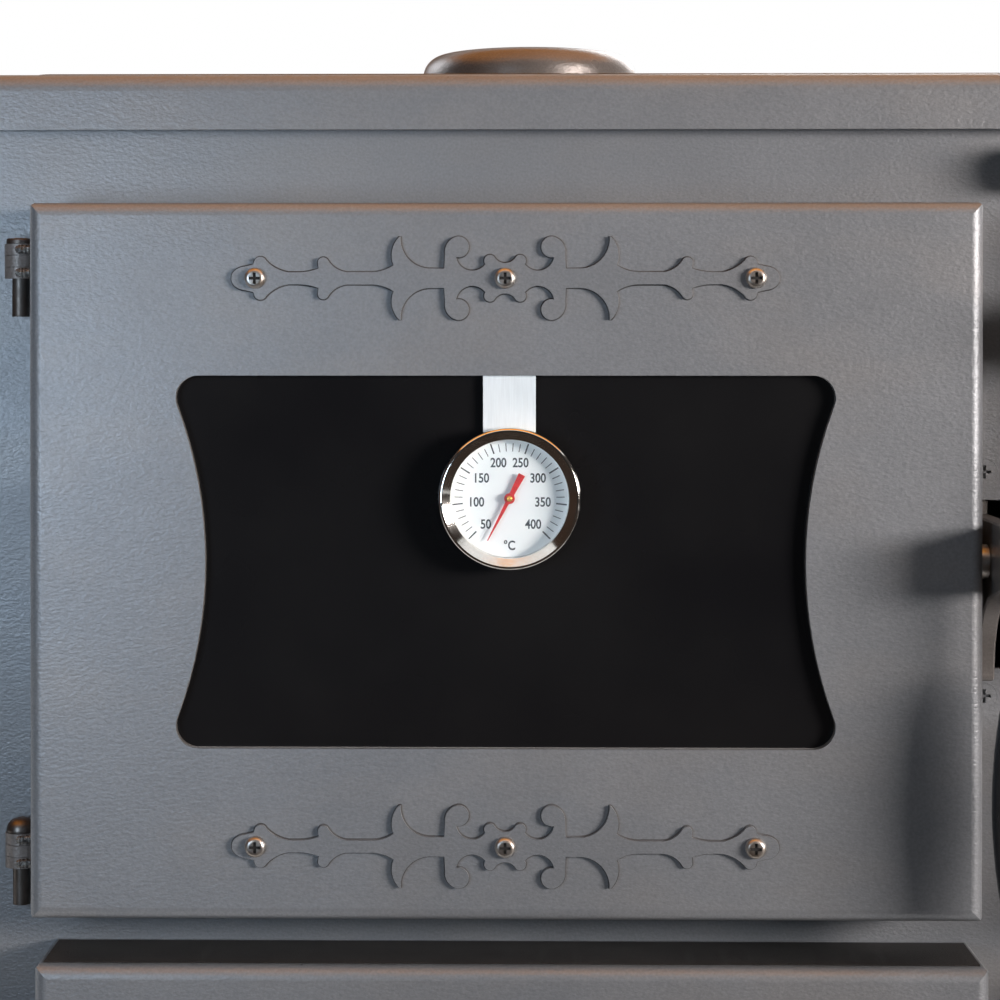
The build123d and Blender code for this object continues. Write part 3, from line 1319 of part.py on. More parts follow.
def thermometer_needle():
    """The pointer with its broad tail, its boss and its spindle, set to its resting angle."""
    x, z = thermometer_centre()
    front = dial_front() - NEEDLE_STANDOFF
    neck = (-NEEDLE_NECK_HALF, NEEDLE_BOSS_RADIUS)
    corners = [(-NEEDLE_TAIL_HALF, -NEEDLE_TAIL), neck, (-NEEDLE_TIP_HALF, NEEDLE_TIP)]
    corners += [(-x, z) for x, z in reversed(corners)]
    outline = make_face(Polyline(*corners, close=True))
    blade = sheet_xz(Rot(0, 0, NEEDLE_REST_ANGLE) * outline, (front, front + NEEDLE_SHEET))
    boss = disc(0, 0, NEEDLE_BOSS_RADIUS, around(front, NEEDLE_BOSS_HALF))
    spindle = disc(0, 0, SPINDLE_NEEDLE_RADIUS, (front, dial_front() + DIAL_SHEET - 0.2))
    return Pos(x, 0, z) * (blade + boss + spindle)


# ---- drawers ----

def drawer_box(front_x, front_z, mouth, bottom, height, depth):
    """A tray that runs in through its mouth, with a back plate that closes the drawer front."""
    mouth_x, _ = mouth
    x = grown(mouth_x, -DRAWER_SIDE_GAP)
    plate_y = (FRONT - BACK_PLATE_SETBACK, FRONT - BACK_PLATE_SETBACK + DRAWER_SHEET)
    y = (plate_y[1], FRONT + depth)
    z = (bottom, bottom + height)
    tray = block(x, y, z)
    inner = (y[0] + DRAWER_SHEET, y[1] - DRAWER_SHEET)
    tray -= block(grown(x, -DRAWER_SHEET), inner, (bottom + DRAWER_SHEET, z[1] + 1))
    fit = -(DOOR_SHEET + SLIDE_CLEARANCE)
    return tray + block(grown(front_x, fit), plate_y, grown(front_z, fit))


def low_drawer_bottom():
    return WOOD_MOUTH[1][0] + RUNNER_SHEET + RUNNER_GAP


def low_drawer_box(front_x, mouth):
    bottom = low_drawer_bottom()
    height = mouth[1][1] - DRAWER_TOP_GAP - bottom
    return drawer_box(front_x, LOW_FRONT_Z, mouth, bottom, height, DRAWER_DEPTH)


def ash_rail_top():
    return ASH_MOUTH_Z[0] + ASH_RAIL_THICKNESS


def ash_pan():
    bottom = ash_rail_top() + SLIDE_CLEARANCE
    depth = SHELL_DEPTH - ASH_PAN_ROOM
    return drawer_box(ASH_FRONT_X, ASH_FRONT_Z, ASH_MOUTH, bottom, ASH_PAN_HEIGHT, depth)


def drawer_runners():
    """An angle under each long edge of the two low drawers, and two flat rails under the ash pan."""
    runners = []
    top = low_drawer_bottom() - SLIDE_CLEARANCE
    y = (FRONT + SHEET, BACK - SHEET)
    for mouth_x, _ in (WOOD_MOUTH, KINDLING_MOUTH):
        for side, wall in ((1, mouth_x[0] - RUNNER_OUTSET), (-1, mouth_x[1] + RUNNER_OUTSET)):
            leg = sorted((wall, wall + side * RUNNER_WIDTH))
            upright = sorted((wall, wall + side * RUNNER_SHEET))
            runner = block(leg, y, (top - RUNNER_SHEET, top))
            runners.append(runner + block(upright, y, (top - RUNNER_SHEET, top + RUNNER_HEIGHT)))
    rail_y = (FRONT + SHEET, FRONT + SHELL_DEPTH - SHELL_SHEET)
    for wall in (ASH_MOUTH_X[0] + ASH_RAIL_INSET, ASH_MOUTH_X[1] - ASH_RAIL_INSET - RUNNER_WIDTH):
        runners.append(block((wall, wall + RUNNER_WIDTH), rail_y, (ASH_MOUTH_Z[0], ash_rail_top())))
    return solids_of(*runners)


def bar_handle(front_x):
    """A barrel bar across two posts on a drawer's front."""
    x, y, z = middle(front_x), FACE - HANDLE_STANDOFF, middle(LOW_FRONT_Z) + HANDLE_RISE
    bar = barrel(HANDLE_LENGTH, HANDLE_RADIUS, HANDLE_END_RADIUS)
    handle = Pos(x, y, z) * Rot(0, 90, 0) * bar
    for side in (-1, 1):
        handle += disc(x + side * HANDLE_POST_REACH, z, HANDLE_POST_RADIUS, (y, FACE))
    return handle


def ash_knob():
    x, z = middle(ASH_FRONT_X), ASH_FRONT_Z[0] + ASH_KNOB_RISE
    knob = disc(x, z, ASH_KNOB_RADIUS, (FACE - ASH_KNOB_FRONT, FACE - ASH_KNOB_BACK))
    knob = fillet(knob.edges().sort_by(Axis.Y)[0], ASH_KNOB_ROUND)
    return knob + disc(x, z, ASH_KNOB_STEM, (FACE - ASH_KNOB_BACK, FACE))


def shutter_slot_centres():
    first = middle(ASH_FRONT_X) - (SHUTTER_SLOTS - 1) * SHUTTER_SLOT
    return [first + index * 2 * SHUTTER_SLOT for index in range(SHUTTER_SLOTS)]


def shutter_span():
    return (ASH_FRONT_Z[1] - SHUTTER_BOTTOM, ASH_FRONT_Z[1] - SHUTTER_TOP)


def shutter_rivets():
    centres = shutter_slot_centres()
    return (centres[0] - 2 * SHUTTER_SLOT, centres[-1] + 1.75 * SHUTTER_SLOT)


def ash_drawer_front():
    """The ash drawer's pan with its row of air slots and the two rivets that hold the shutter."""
    pan = pressed_pan(ASH_FRONT_X, ASH_FRONT_Z)
    slot_z_span = grown(shutter_span(), -SHUTTER_BORDER)
    for centre in shutter_slot_centres():
        pan -= block(around(centre, SHUTTER_SLOT / 2), (FACE - 1, FACE + 3), slot_z_span)
    for x in shutter_rivets():
        z = middle(shutter_span())
        pan += disc(x, z, RIVET_RADIUS, (FACE - RIVET_LENGTH, FACE))
        head_y = (FACE - RIVET_LENGTH - RIVET_HEAD_HEIGHT, FACE - RIVET_LENGTH)
        pan += disc(x, z, RIVET_HEAD_RADIUS, head_y)
    return pan


def air_shutter():
    """A slotted strip that slides along the front; at rest it covers the air slots."""
    z = shutter_span()
    left, right = shutter_rivets()
    x = (left - SHUTTER_TRAVEL - SHUTTER_END, right + SHUTTER_END)
    strip = block(x, (FACE - SHUTTER_FRONT, FACE - SLIDE_CLEARANCE), z)
    cut_y = (FACE - 4, FACE + 1)
    for centre in shutter_slot_centres():
        window_x = around(centre - SHUTTER_TRAVEL, SHUTTER_SLOT / 2)
        strip -= block(window_x, cut_y, grown(z, -SHUTTER_BORDER))
    for rivet in (left, right):
        reach = RIVET_SLOT_RADIUS
        guide_x = (rivet - SHUTTER_TRAVEL - reach, rivet + reach)
        guide = opening(guide_x, around(middle(z), reach), reach - 0.01)
        strip -= sheet_xz(guide, cut_y)
    tab_x = around(middle(x), SHUTTER_TAB_HALF)
    tab_y = (FACE - SHUTTER_TAB_REACH, FACE - SLIDE_CLEARANCE)
    return strip + block(tab_x, tab_y, (z[1] - SHUTTER_TAB_SHEET, z[1]))


# ---- the whole stove ----

def build_parts():
    return {
        "front_panel": front_panel(),
        "side_panel_left": side_panel(-1),
        "side_panel_right": side_panel(1),
        "back_panel": back_panel(),
        "base_plate": base_plate(),
        "plinth": plinth(),
        "levelling_feet": levelling_feet(),
        "top_frame": top_frame(),
        "cooking_plate": cooking_plate(),
        "cooking_ring": cooking_ring(),
        "ring_plug": ring_plug(),
        "flue_collar_top": flue_collar_top(),
        "flue_collar_rear": flue_collar_rear(),
        "flue_cap": flue_cap(),
        "oven_box": oven_box(),
        "oven_rack": oven_rack(),
        "firebox_shell": firebox_shell(),
        "fire_bricks": fire_bricks(),
        "fire_grate": fire_grate(),
        "smoke_baffle": smoke_baffle(),
        "damper_slide": damper_slide(),
        "damper_knob": damper_knob(),
        "panel_knuckles": panel_knuckles(),
        "hinge_pins": hinge_pins(),
        "latch_keepers": latch_keepers(),
        "keeper_screws": keeper_screws(),
        "drawer_runners": drawer_runners(),
        "oven_door_panel": door_panel(OVEN_DOOR),
        "oven_door_liner": door_liner(OVEN_DOOR),
        "oven_door_glass": door_glass(OVEN_DOOR),
        "oven_door_gaskets": door_gaskets(OVEN_DOOR, strap_channel=True),
        "oven_door_knuckles": door_knuckles(OVEN_DOOR),
        "oven_ornaments": door_ornaments(OVEN_DOOR),
        "oven_door_fasteners": door_fasteners(OVEN_DOOR, strapped=True),
        "thermometer_strap": thermometer_strap(),
        "thermometer_case": thermometer_case(),
        "thermometer_dial": thermometer_dial(),
        "thermometer_lens": thermometer_lens(),
        "thermometer_needle": thermometer_needle(),
        "oven_latch_lever": latch_lever(OVEN_DOOR),
        "oven_latch_grip": latch_grip(OVEN_DOOR),
        "fire_door_panel": door_panel(FIRE_DOOR),
        "fire_door_liner": door_liner(FIRE_DOOR),
        "fire_door_glass": door_glass(FIRE_DOOR),
        "fire_door_gaskets": door_gaskets(FIRE_DOOR, strap_channel=False),
        "fire_door_knuckles": door_knuckles(FIRE_DOOR),
        "fire_ornaments": door_ornaments(FIRE_DOOR),
        "fire_door_fasteners": door_fasteners(FIRE_DOOR, strapped=False),
        "fire_latch_lever": latch_lever(FIRE_DOOR),
        "fire_latch_grip": latch_grip(FIRE_DOOR),
        "ash_drawer_front": ash_drawer_front(),
        "ash_pan": ash_pan(),
        "ash_drawer_knob": ash_knob(),
        "air_shutter": air_shutter(),
        "wood_drawer_front": pressed_pan(WOOD_FRONT_X, LOW_FRONT_Z),
        "wood_drawer_box": low_drawer_box(WOOD_FRONT_X, WOOD_MOUTH),
        "wood_drawer_handle": bar_handle(WOOD_FRONT_X),
        "kindling_drawer_front": pressed_pan(KINDLING_FRONT_X, LOW_FRONT_Z),
        "kindling_drawer_box": low_drawer_box(KINDLING_FRONT_X, KINDLING_MOUTH),
        "kindling_drawer_handle": bar_handle(KINDLING_FRONT_X),
    }


os.makedirs("parts", exist_ok=True)
for node, shape in build_parts().items():
    export_step(shape, f"parts/{node}.step")
    print(f"{node}: {len(shape.solids())} solids, {shape.volume / 1000:.1f} cm3")
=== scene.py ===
"""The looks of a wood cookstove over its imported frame: paints, metals, glass, rope seals, a plain studio."""

import logging
import math
import random
from collections.abc import Iterable, Sequence
from dataclasses import dataclass, field
from enum import Enum

import bmesh
import bpy
from mathutils import Matrix, Vector


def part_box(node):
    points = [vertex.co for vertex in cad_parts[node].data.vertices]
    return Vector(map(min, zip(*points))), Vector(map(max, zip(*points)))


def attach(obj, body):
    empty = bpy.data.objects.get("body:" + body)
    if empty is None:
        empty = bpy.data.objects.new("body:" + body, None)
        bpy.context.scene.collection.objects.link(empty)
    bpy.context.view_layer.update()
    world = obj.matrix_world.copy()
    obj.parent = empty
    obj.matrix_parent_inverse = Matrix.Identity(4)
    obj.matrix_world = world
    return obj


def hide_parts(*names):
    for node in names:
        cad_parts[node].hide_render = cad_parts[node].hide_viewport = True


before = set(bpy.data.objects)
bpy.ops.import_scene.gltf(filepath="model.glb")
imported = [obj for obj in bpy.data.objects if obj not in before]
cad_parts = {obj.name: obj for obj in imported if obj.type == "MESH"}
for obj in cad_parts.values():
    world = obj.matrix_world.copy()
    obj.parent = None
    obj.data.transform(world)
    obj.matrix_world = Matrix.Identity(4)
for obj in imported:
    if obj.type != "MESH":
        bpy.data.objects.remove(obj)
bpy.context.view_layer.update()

LOG = logging.getLogger("stove")
MM = 0.001
WHITE = (1.0, 1.0, 1.0, 1.0)

Rgba = tuple[float, float, float, float]
Point = tuple[float, float, float]
Face = tuple[int, ...]
Tree = bpy.types.NodeTree
Socket = bpy.types.NodeSocket
Sockets = dict[str | int, object]


class Side(Enum):
    """The side of its hinge that a door hangs on."""

    RIGHT_OF_HINGE = 1
    LEFT_OF_HINGE = -1


# ---- helpers ----


def linear(code: str) -> Rgba:
    """Turns a colour into the linear values that a shader takes.

    Args:
        code: an sRGB colour, such as "#84898e".

    Returns:
        Red, green, blue and an alpha of 1.
    """
    values = [int(code[i : i + 2], 16) / 255 for i in (1, 3, 5)]
    red, green, blue = (v / 12.92 if v <= 0.04045 else ((v + 0.055) / 1.055) ** 2.4 for v in values)
    return (red, green, blue, 1.0)


def per_mm(size: float) -> float:
    """The scale of a pattern whose features are this many millimetres across."""
    return 1 / (size * MM)


def add_node(
    tree: Tree, kind: str, inputs: Sockets | None = None, **settings: object
) -> bpy.types.Node:
    """Adds a node to a tree.

    Args:
        tree: the material's or the world's nodes.
        kind: the node's type.
        inputs: values for its input sockets, or the output sockets that feed them.
        settings: the node's own settings.

    Returns:
        The node.
    """
    node = tree.nodes.new(kind)
    for name, value in settings.items():
        setattr(node, name, value)
    for key, value in (inputs or {}).items():
        if isinstance(value, Socket):
            tree.links.new(value, node.inputs[key])
        else:
            node.inputs[key].default_value = value
    return node


@dataclass(frozen=True)
class Coat:
    """One colour that lies over another: how much of it shows, and how the two are combined."""

    share: Socket | float
    colour: Socket | str
    how: str = "MIX"


@dataclass(frozen=True)
class Ground:
    """What patterns are laid on: a material's nodes, and the object's own coordinates in metres."""

    tree: Tree
    place: Socket

    def patches(
        self, size: float, low: float, high: float, stretch: Point = (1, 1, 1), detail: float = 2.0
    ) -> Socket:
        """Lays a value that wanders over the surface.

        Args:
            size: how far apart its patches are, in millimetres.
            low: the value in the low patches.
            high: the value in the high patches.
            stretch: how tightly the pattern is packed along each axis; under 1 draws it out.
            detail: how many finer layers it has.

        Returns:
            The value.
        """
        axes = {"Vector": self.place, "Scale": stretch}
        where = add_node(self.tree, "ShaderNodeMapping", axes).outputs[0]
        layers = {"Vector": where, "Scale": per_mm(size), "Detail": detail}
        noise = add_node(self.tree, "ShaderNodeTexNoise", layers).outputs[0]
        span = {"Value": noise, "From Min": 0.3, "From Max": 0.7, "To Min": low, "To Max": high}
        return add_node(self.tree, "ShaderNodeMapRange", span).outputs[0]

    def specks(self, spacing: float, size: float, share: float) -> Socket:
        """Lays a mask of small round specks.

        Args:
            spacing: how far apart the places for a speck are, in millimetres.
            size: a speck's diameter in millimetres.
            share: how dark a cell's random tone must be for its speck to show, from 0, none, to 1, all.

        Returns:
            1 on a speck and 0 elsewhere.
        """
        grid = {"Vector": self.place, "Scale": per_mm(spacing)}
        cells = add_node(self.tree, "ShaderNodeTexVoronoi", grid).outputs
        edge = size / 2 / spacing
        near = {"Value": cells["Distance"], "From Min": edge * 1.3, "From Max": edge * 0.8}
        spot = add_node(self.tree, "ShaderNodeMapRange", near).outputs[0]
        tone = {0: cells["Color"], 1: share}
        chosen = add_node(self.tree, "ShaderNodeMath", tone, operation="LESS_THAN").outputs[0]
        return add_node(self.tree, "ShaderNodeMath", {0: spot, 1: chosen}, operation="MULTIPLY").outputs[0]

    def layered(self, base: str, *coats: Coat) -> Socket:
        """Lays colours over one another.

        Args:
            base: the lowest colour, as hex.
            coats: the colours over it, from the lowest up.

        Returns:
            The colour that the eye gets.
        """
        tone = linear(base)
        for coat in coats:
            over = linear(coat.colour) if isinstance(coat.colour, str) else coat.colour
            pair = {0: coat.share, 6: tone, 7: over}
            mix = add_node(self.tree, "ShaderNodeMix", pair, data_type="RGBA", blend_type=coat.how)
            tone = mix.outputs[2]
        return tone


def background_rays(tree: Tree) -> Socket:
    """Tells apart the rays that show the background: from the camera, off metal or through glass.

    Args:
        tree: the material's or the world's nodes.

    Returns:
        1 for those rays and 0 for the rest.
    """
    path = add_node(tree, "ShaderNodeLightPath").outputs
    seen = {0: path["Is Camera Ray"], 1: path["Is Glossy Ray"]}
    mirrored = add_node(tree, "ShaderNodeMath", seen, operation="MAXIMUM").outputs[0]
    through = {0: mirrored, 1: path["Is Transmission Ray"]}
    return add_node(tree, "ShaderNodeMath", through, operation="MAXIMUM").outputs[0]


# ---- finishes ----


@dataclass(frozen=True)
class Finish:
    """One surface finish. Each kind lays its own pattern under one shader."""

    name: str

    def pattern(self, on: Ground) -> Sockets:
        """Lays the finish's pattern.

        Args:
            on: what it is laid on.

        Returns:
            What goes into the shader's sockets. "Relief" is a height and its full depth in millimetres.
        """
        raise NotImplementedError

    def surface(self, tree: Tree, shader: Socket) -> Socket:
        """What reaches the output: the shader as it is."""
        return shader

    def material(self) -> bpy.types.Material:
        """Makes the finish's material at the first call, and finds it again at the next ones.

        Returns:
            The material.
        """
        if self.name in MADE:
            return MADE[self.name]
        material = bpy.data.materials.new(self.name)
        material.use_nodes = True
        tree = material.node_tree
        tree.nodes.clear()
        place = add_node(tree, "ShaderNodeTexCoord").outputs["Object"]
        inputs = self.pattern(Ground(tree, place))
        if "Relief" in inputs:
            height, depth = inputs.pop("Relief")
            bump = {"Height": height, "Distance": depth * MM}
            inputs["Normal"] = add_node(tree, "ShaderNodeBump", bump).outputs[0]
        shader = add_node(tree, "ShaderNodeBsdfPrincipled", inputs).outputs[0]
        add_node(tree, "ShaderNodeOutputMaterial", {"Surface": self.surface(tree, shader)})
        MADE[self.name] = material
        return material


MADE: dict[str, bpy.types.Material] = {}


@dataclass(frozen=True)
class HeatPaint(Finish):
    """Heat-resisting silicone paint with aluminium flake, sprayed on sheet steel and baked.

    The eye gets an even silvery anthracite with a soft shine: fine peel, faint clouds, a few dark specks.
    """

    base: str = "#8a8d91"
    cloud: str = "#84878b"
    wiped: str = "#8e8e8f"
    speck: str = "#4a4643"
    metallic: float = 0.3
    roughness: float = 0.42
    cloud_size: float = 150.0
    peel: float = 1.5
    peel_depth: float = 0.1
    speck_share: float = 0.3

    def pattern(self, on: Ground) -> Sockets:
        """Lays the clouds, the wiped patches, the grit and the specks, over the spray's fine peel.

        Args:
            on: what it is laid on.

        Returns:
            What goes into the shader\'s sockets.
        """
        # Real grit is 0.05 mm; drawn at about 1 mm, so that it shows.
        grit = on.patches(1.2, 0.9, 1.07, detail=2)
        tone = on.layered(
            self.base,
            Coat(on.patches(self.cloud_size, 0, 1, detail=3), self.cloud),
            Coat(on.patches(46, -0.5, 0.7, stretch=(0.6, 1, 1.3), detail=4), self.wiped),
            Coat(1.0, grit, "MULTIPLY"),
            Coat(on.specks(17, 1.1, self.speck_share), self.speck),
        )
        rough = on.patches(34, self.roughness - 0.03, self.roughness + 0.04, detail=4)
        peel = on.patches(self.peel, 0, 1, stretch=(0.7, 1, 1.2), detail=3)
        relief = (peel, self.peel_depth)
        return {"Base Color": tone, "Metallic": self.metallic, "Roughness": rough, "Relief": relief}


@dataclass(frozen=True)
class GroundIron(Finish):
    """Grey cast iron, ground flat on a belt and blackened with stove polish.

    The eye gets a dark sheen with long fine scratches, small pores and brown heat tint.
    """

    base: str = "#4a4a4c"
    bright: str = "#626263"
    tint: str = "#463d37"
    roughness: float = 0.42
    scratch: float = 1.4

    def pattern(self, on: Ground) -> Sockets:
        """Lays the scratches along the plate, the heat tint and the pores.

        Args:
            on: what it is laid on.

        Returns:
            What goes into the shader\'s sockets.
        """
        # Belt scratches are 0.1 mm apart; drawn at 1.4 mm, so that they show.
        lines = on.patches(self.scratch, 0, 1, stretch=(0.03, 1, 1), detail=4)
        tone = on.layered(
            self.base,
            Coat(lines, self.bright),
            Coat(on.patches(110, -0.6, 0.7, detail=3), self.tint),
            Coat(on.specks(7, 1.0, 0.55), "#1c1b1b"),
        )
        rough = on.patches(35, self.roughness - 0.08, self.roughness + 0.1, detail=3)
        return {"Base Color": tone, "Metallic": 0.75, "Roughness": rough, "Relief": (lines, 0.02)}


@dataclass(frozen=True)
class CastIron(Finish):
    """Grey cast iron as it left the sand mould: pebbled, matt, with soot and a little rust."""

    base: str = "#3b3a3a"
    soot: str = "#161514"
    rust: str = "#5b3d2b"

    def pattern(self, on: Ground) -> Sockets:
        """Lays the soot and rust over the sand's pebbles.

        Args:
            on: what it is laid on.

        Returns:
            What goes into the shader\'s sockets.
        """
        tone = on.layered(
            self.base,
            Coat(on.patches(40, -0.2, 1.1, detail=4), self.soot),
            Coat(on.patches(18, -0.8, 0.5, detail=4), self.rust),
            Coat(1.0, on.patches(1.3, 0.8, 1.1), "MULTIPLY"),
        )
        pebbles = on.patches(1.6, 0, 1, detail=3)
        return {"Base Color": tone, "Metallic": 0.3, "Roughness": 0.74, "Relief": (pebbles, 0.3)}


@dataclass(frozen=True)
class Bakelite(Finish):
    """Black phenolic, compression moulded: deep gloss, faint flow marks and fine handling scratches."""

    base: str = "#121213"
    flow: str = "#1d1c1d"

    def pattern(self, on: Ground) -> Sockets:
        """Lays the flow marks and the hazed gloss.

        Args:
            on: what it is laid on.

        Returns:
            What goes into the shader\'s sockets.
        """
        tone = on.layered(self.base, Coat(on.patches(14, 0, 0.8, detail=4), self.flow))
        haze = on.patches(6, 0.14, 0.3, stretch=(1, 1, 0.3), detail=4)
        marks = on.patches(0.9, 0, 1, stretch=(1, 1, 0.15), detail=3)
        return {"Base Color": tone, "Roughness": haze, "IOR": 1.6, "Relief": (marks, 0.008)}


@dataclass(frozen=True)
class SteelFinish(Finish):
    """Bare or plated steel whose marks run one way: turned, brushed, drawn or polished."""

    base: str
    tint: str
    roughness: float
    metallic: float = 1.0
    marks: float = 0.7
    run: Point = (1, 1, 1)
    mark_depth: float = 0.01
    tint_size: float = 12.0
    tint_share: float = 0.5

    def pattern(self, on: Ground) -> Sockets:
        """Lays the tool's marks and the uneven tint.

        Args:
            on: what it is laid on.

        Returns:
            What goes into the shader\'s sockets.
        """
        tone = on.layered(
            self.base,
            Coat(on.patches(self.tint_size, -0.3, self.tint_share, detail=4), self.tint),
            Coat(1.0, on.patches(self.marks, 0.92, 1.0, stretch=self.run), "MULTIPLY"),
        )
        low, high = self.roughness * 0.8, self.roughness * 1.25
        rough = on.patches(self.tint_size / 2, low, high, detail=3)
        lines = on.patches(self.marks, 0, 1, stretch=self.run, detail=3)
        relief = (lines, self.mark_depth)
        return {"Base Color": tone, "Metallic": self.metallic, "Roughness": rough, "Relief": relief}


@dataclass(frozen=True)
class ZincSheet(Finish):
    """Hot-dip zinc on steel sheet: matt grey crystals of several tones, each a few millimetres wide."""

    light: str = "#b3b6b8"
    dark: str = "#86898c"
    spangle: float = 7.0

    def pattern(self, on: Ground) -> Sockets:
        """Lays the zinc's crystals, each with its own tone and gloss.

        Args:
            on: what it is laid on.

        Returns:
            What goes into the shader\'s sockets.
        """
        grid = {"Vector": on.place, "Scale": per_mm(self.spangle)}
        crystal = add_node(on.tree, "ShaderNodeTexVoronoi", grid).outputs["Color"]
        stain = on.patches(60, -0.3, 0.5, detail=4)
        tone = on.layered(self.dark, Coat(crystal, self.light), Coat(stain, "#77736c"))
        spread = {"Value": crystal, "To Min": 0.32, "To Max": 0.55}
        rough = add_node(on.tree, "ShaderNodeMapRange", spread).outputs[0]
        return {
            "Base Color": tone,
            "Metallic": 0.85,
            "Roughness": rough,
            "Relief": (on.patches(2.5, 0, 1), 0.01),
        }


@dataclass(frozen=True)
class HeatedSheet(Finish):
    """Aluminised steel sheet that has been through fires: satin silver, straw and brown tint, soot."""

    base: str = "#a3a5a6"
    straw: str = "#8f7d62"
    soot: str = "#3c3835"
    sooted: float = 0.5

    def pattern(self, on: Ground) -> Sockets:
        """Lays the rolled grain, the tint and the soot.

        Args:
            on: what it is laid on.

        Returns:
            What goes into the shader\'s sockets.
        """
        tone = on.layered(
            self.base,
            Coat(on.patches(70, -0.4, 0.9, detail=3), self.straw),
            Coat(on.patches(38, -0.5, self.sooted, detail=5), self.soot),
            Coat(1.0, on.patches(3, 0.88, 1.04, detail=3), "MULTIPLY"),
        )
        rough = on.patches(24, 0.36, 0.6, detail=4)
        grain = on.patches(0.9, 0, 1, stretch=(1, 1, 0.05), detail=3)
        return {"Base Color": tone, "Metallic": 0.85, "Roughness": rough, "Relief": (grain, 0.012)}


@dataclass(frozen=True)
class SpeckledEnamel(Finish):
    """Vitreous enamel fused on steel: near-black glass full of fine pale flecks, with a wet gloss."""

    base: str = "#1b1b1e"
    fleck: str = "#c9ccce"

    def pattern(self, on: Ground) -> Sockets:
        """Lays two sizes of flecks in the glass, and its flow.

        Args:
            on: what it is laid on.

        Returns:
            What goes into the shader\'s sockets.
        """
        tone = on.layered(
            self.base,
            Coat(on.specks(3.4, 1.2, 0.6), self.fleck),
            Coat(on.specks(1.7, 0.7, 0.45), "#8b8f93"),
            Coat(on.patches(60, -0.7, 0.6, detail=4), "#231c17"),
        )
        rough = on.patches(20, 0.1, 0.26, detail=4)
        return {"Base Color": tone, "Roughness": rough, "IOR": 1.5, "Relief": (on.patches(5, 0, 1), 0.03)}


@dataclass(frozen=True)
class SootedPlate(Finish):
    """Black steel plate with mill scale, sooted by the fire: matt and patchy, with pale ash dust."""

    base: str = "#2e2c2b"
    soot: str = "#100f0f"
    ash: str = "#6a655f"

    def pattern(self, on: Ground) -> Sockets:
        """Lays the soot, the ash dust and the scale's relief.

        Args:
            on: what it is laid on.

        Returns:
            What goes into the shader\'s sockets.
        """
        soot = Coat(on.patches(50, -0.1, 1.2, detail=4), self.soot)
        ash = Coat(on.patches(26, -0.9, 0.4, detail=5), self.ash)
        return {
            "Base Color": on.layered(self.base, soot, ash),
            "Metallic": 0.2,
            "Roughness": on.patches(14, 0.6, 0.85, detail=3),
            "Relief": (on.patches(4, 0, 1, detail=4), 0.12),
        }


@dataclass(frozen=True)
class Fireclay(Finish):
    """Pressed and fired clay brick: buff, sandy, with grog grains and a smoked face."""

    base: str = "#c8ab82"
    grog: str = "#8d6f4e"
    smoke: str = "#3f3833"

    def pattern(self, on: Ground) -> Sockets:
        """Lays the grog, the smoke and the pressed grain.

        Args:
            on: what it is laid on.

        Returns:
            What goes into the shader\'s sockets.
        """
        tone = on.layered(
            self.base,
            Coat(on.specks(3.2, 1.6, 0.6), self.grog),
            Coat(1.0, on.patches(1.4, 0.82, 1.05, detail=3), "MULTIPLY"),
            Coat(on.patches(48, -0.4, 0.9, detail=5), self.smoke),
        )
        return {"Base Color": tone, "Roughness": 0.9, "Relief": (on.patches(1.6, 0, 1, detail=4), 0.25)}


@dataclass(frozen=True)
class GlassRope(Finish):
    """Knitted glass-fibre yarn, dyed with graphite: soft, matt, with a faint silky lift on each strand."""

    base: str = "#3d3c3b"
    yarn: str = "#57554f"
    rub: str = "#2a2725"
    sheen: float = 0.25

    def pattern(self, on: Ground) -> Sockets:
        """Lays the yarn's fibres and the rubbed tone.

        Args:
            on: what it is laid on.

        Returns:
            What goes into the shader\'s sockets.
        """
        fibre = on.patches(0.8, 0, 1, detail=4)
        rubbed = Coat(on.patches(32, -0.3, 0.8, detail=3), self.rub)
        return {
            "Base Color": on.layered(self.base, Coat(fibre, self.yarn), rubbed),
            "Roughness": 0.92,
            "Sheen Weight": self.sheen,
            "Sheen Roughness": 0.4,
            "Relief": (fibre, 0.15),
        }


@dataclass(frozen=True)
class PaleFloor(Finish):
    """A pale matt floor that camera, metal and glass see lifted towards white, and that keeps the shadow."""

    base: str = "#f0efed"
    worn: str = "#eae9e7"
    lift: float = 0.5

    def pattern(self, on: Ground) -> Sockets:
        """Lays a hardly visible cloud and the lift.

        Args:
            on: what it is laid on.

        Returns:
            What goes into the shader\'s sockets.
        """
        tone = on.layered(self.base, Coat(on.patches(900, -0.2, 1.0, detail=4), self.worn))
        seen = {0: background_rays(on.tree), 1: self.lift}
        lift = add_node(on.tree, "ShaderNodeMath", seen, operation="MULTIPLY").outputs[0]
        return {"Base Color": tone, "Roughness": 0.85, "Emission Color": WHITE, "Emission Strength": lift}


@dataclass(frozen=True)
class BlackCeramic(Finish):
    """Glass ceramic for stove doors, drawn flat and tinted through: an even black with a still, quiet gloss."""

    base: str = "#151517"
    film: str = "#1b1b1c"

    def pattern(self, on: Ground) -> Sockets:
        """Lays a thin film of smoke behind a clean face.

        Args:
            on: what it is laid on.

        Returns:
            What goes into the shader\'s sockets.
        """
        tone = on.layered(self.base, Coat(on.patches(70, 0, 1, detail=3), self.film))
        rough = on.patches(55, 0.05, 0.09, detail=3)
        return {"Base Color": tone, "Roughness": rough, "IOR": 1.54, "Specular IOR Level": 0.3}


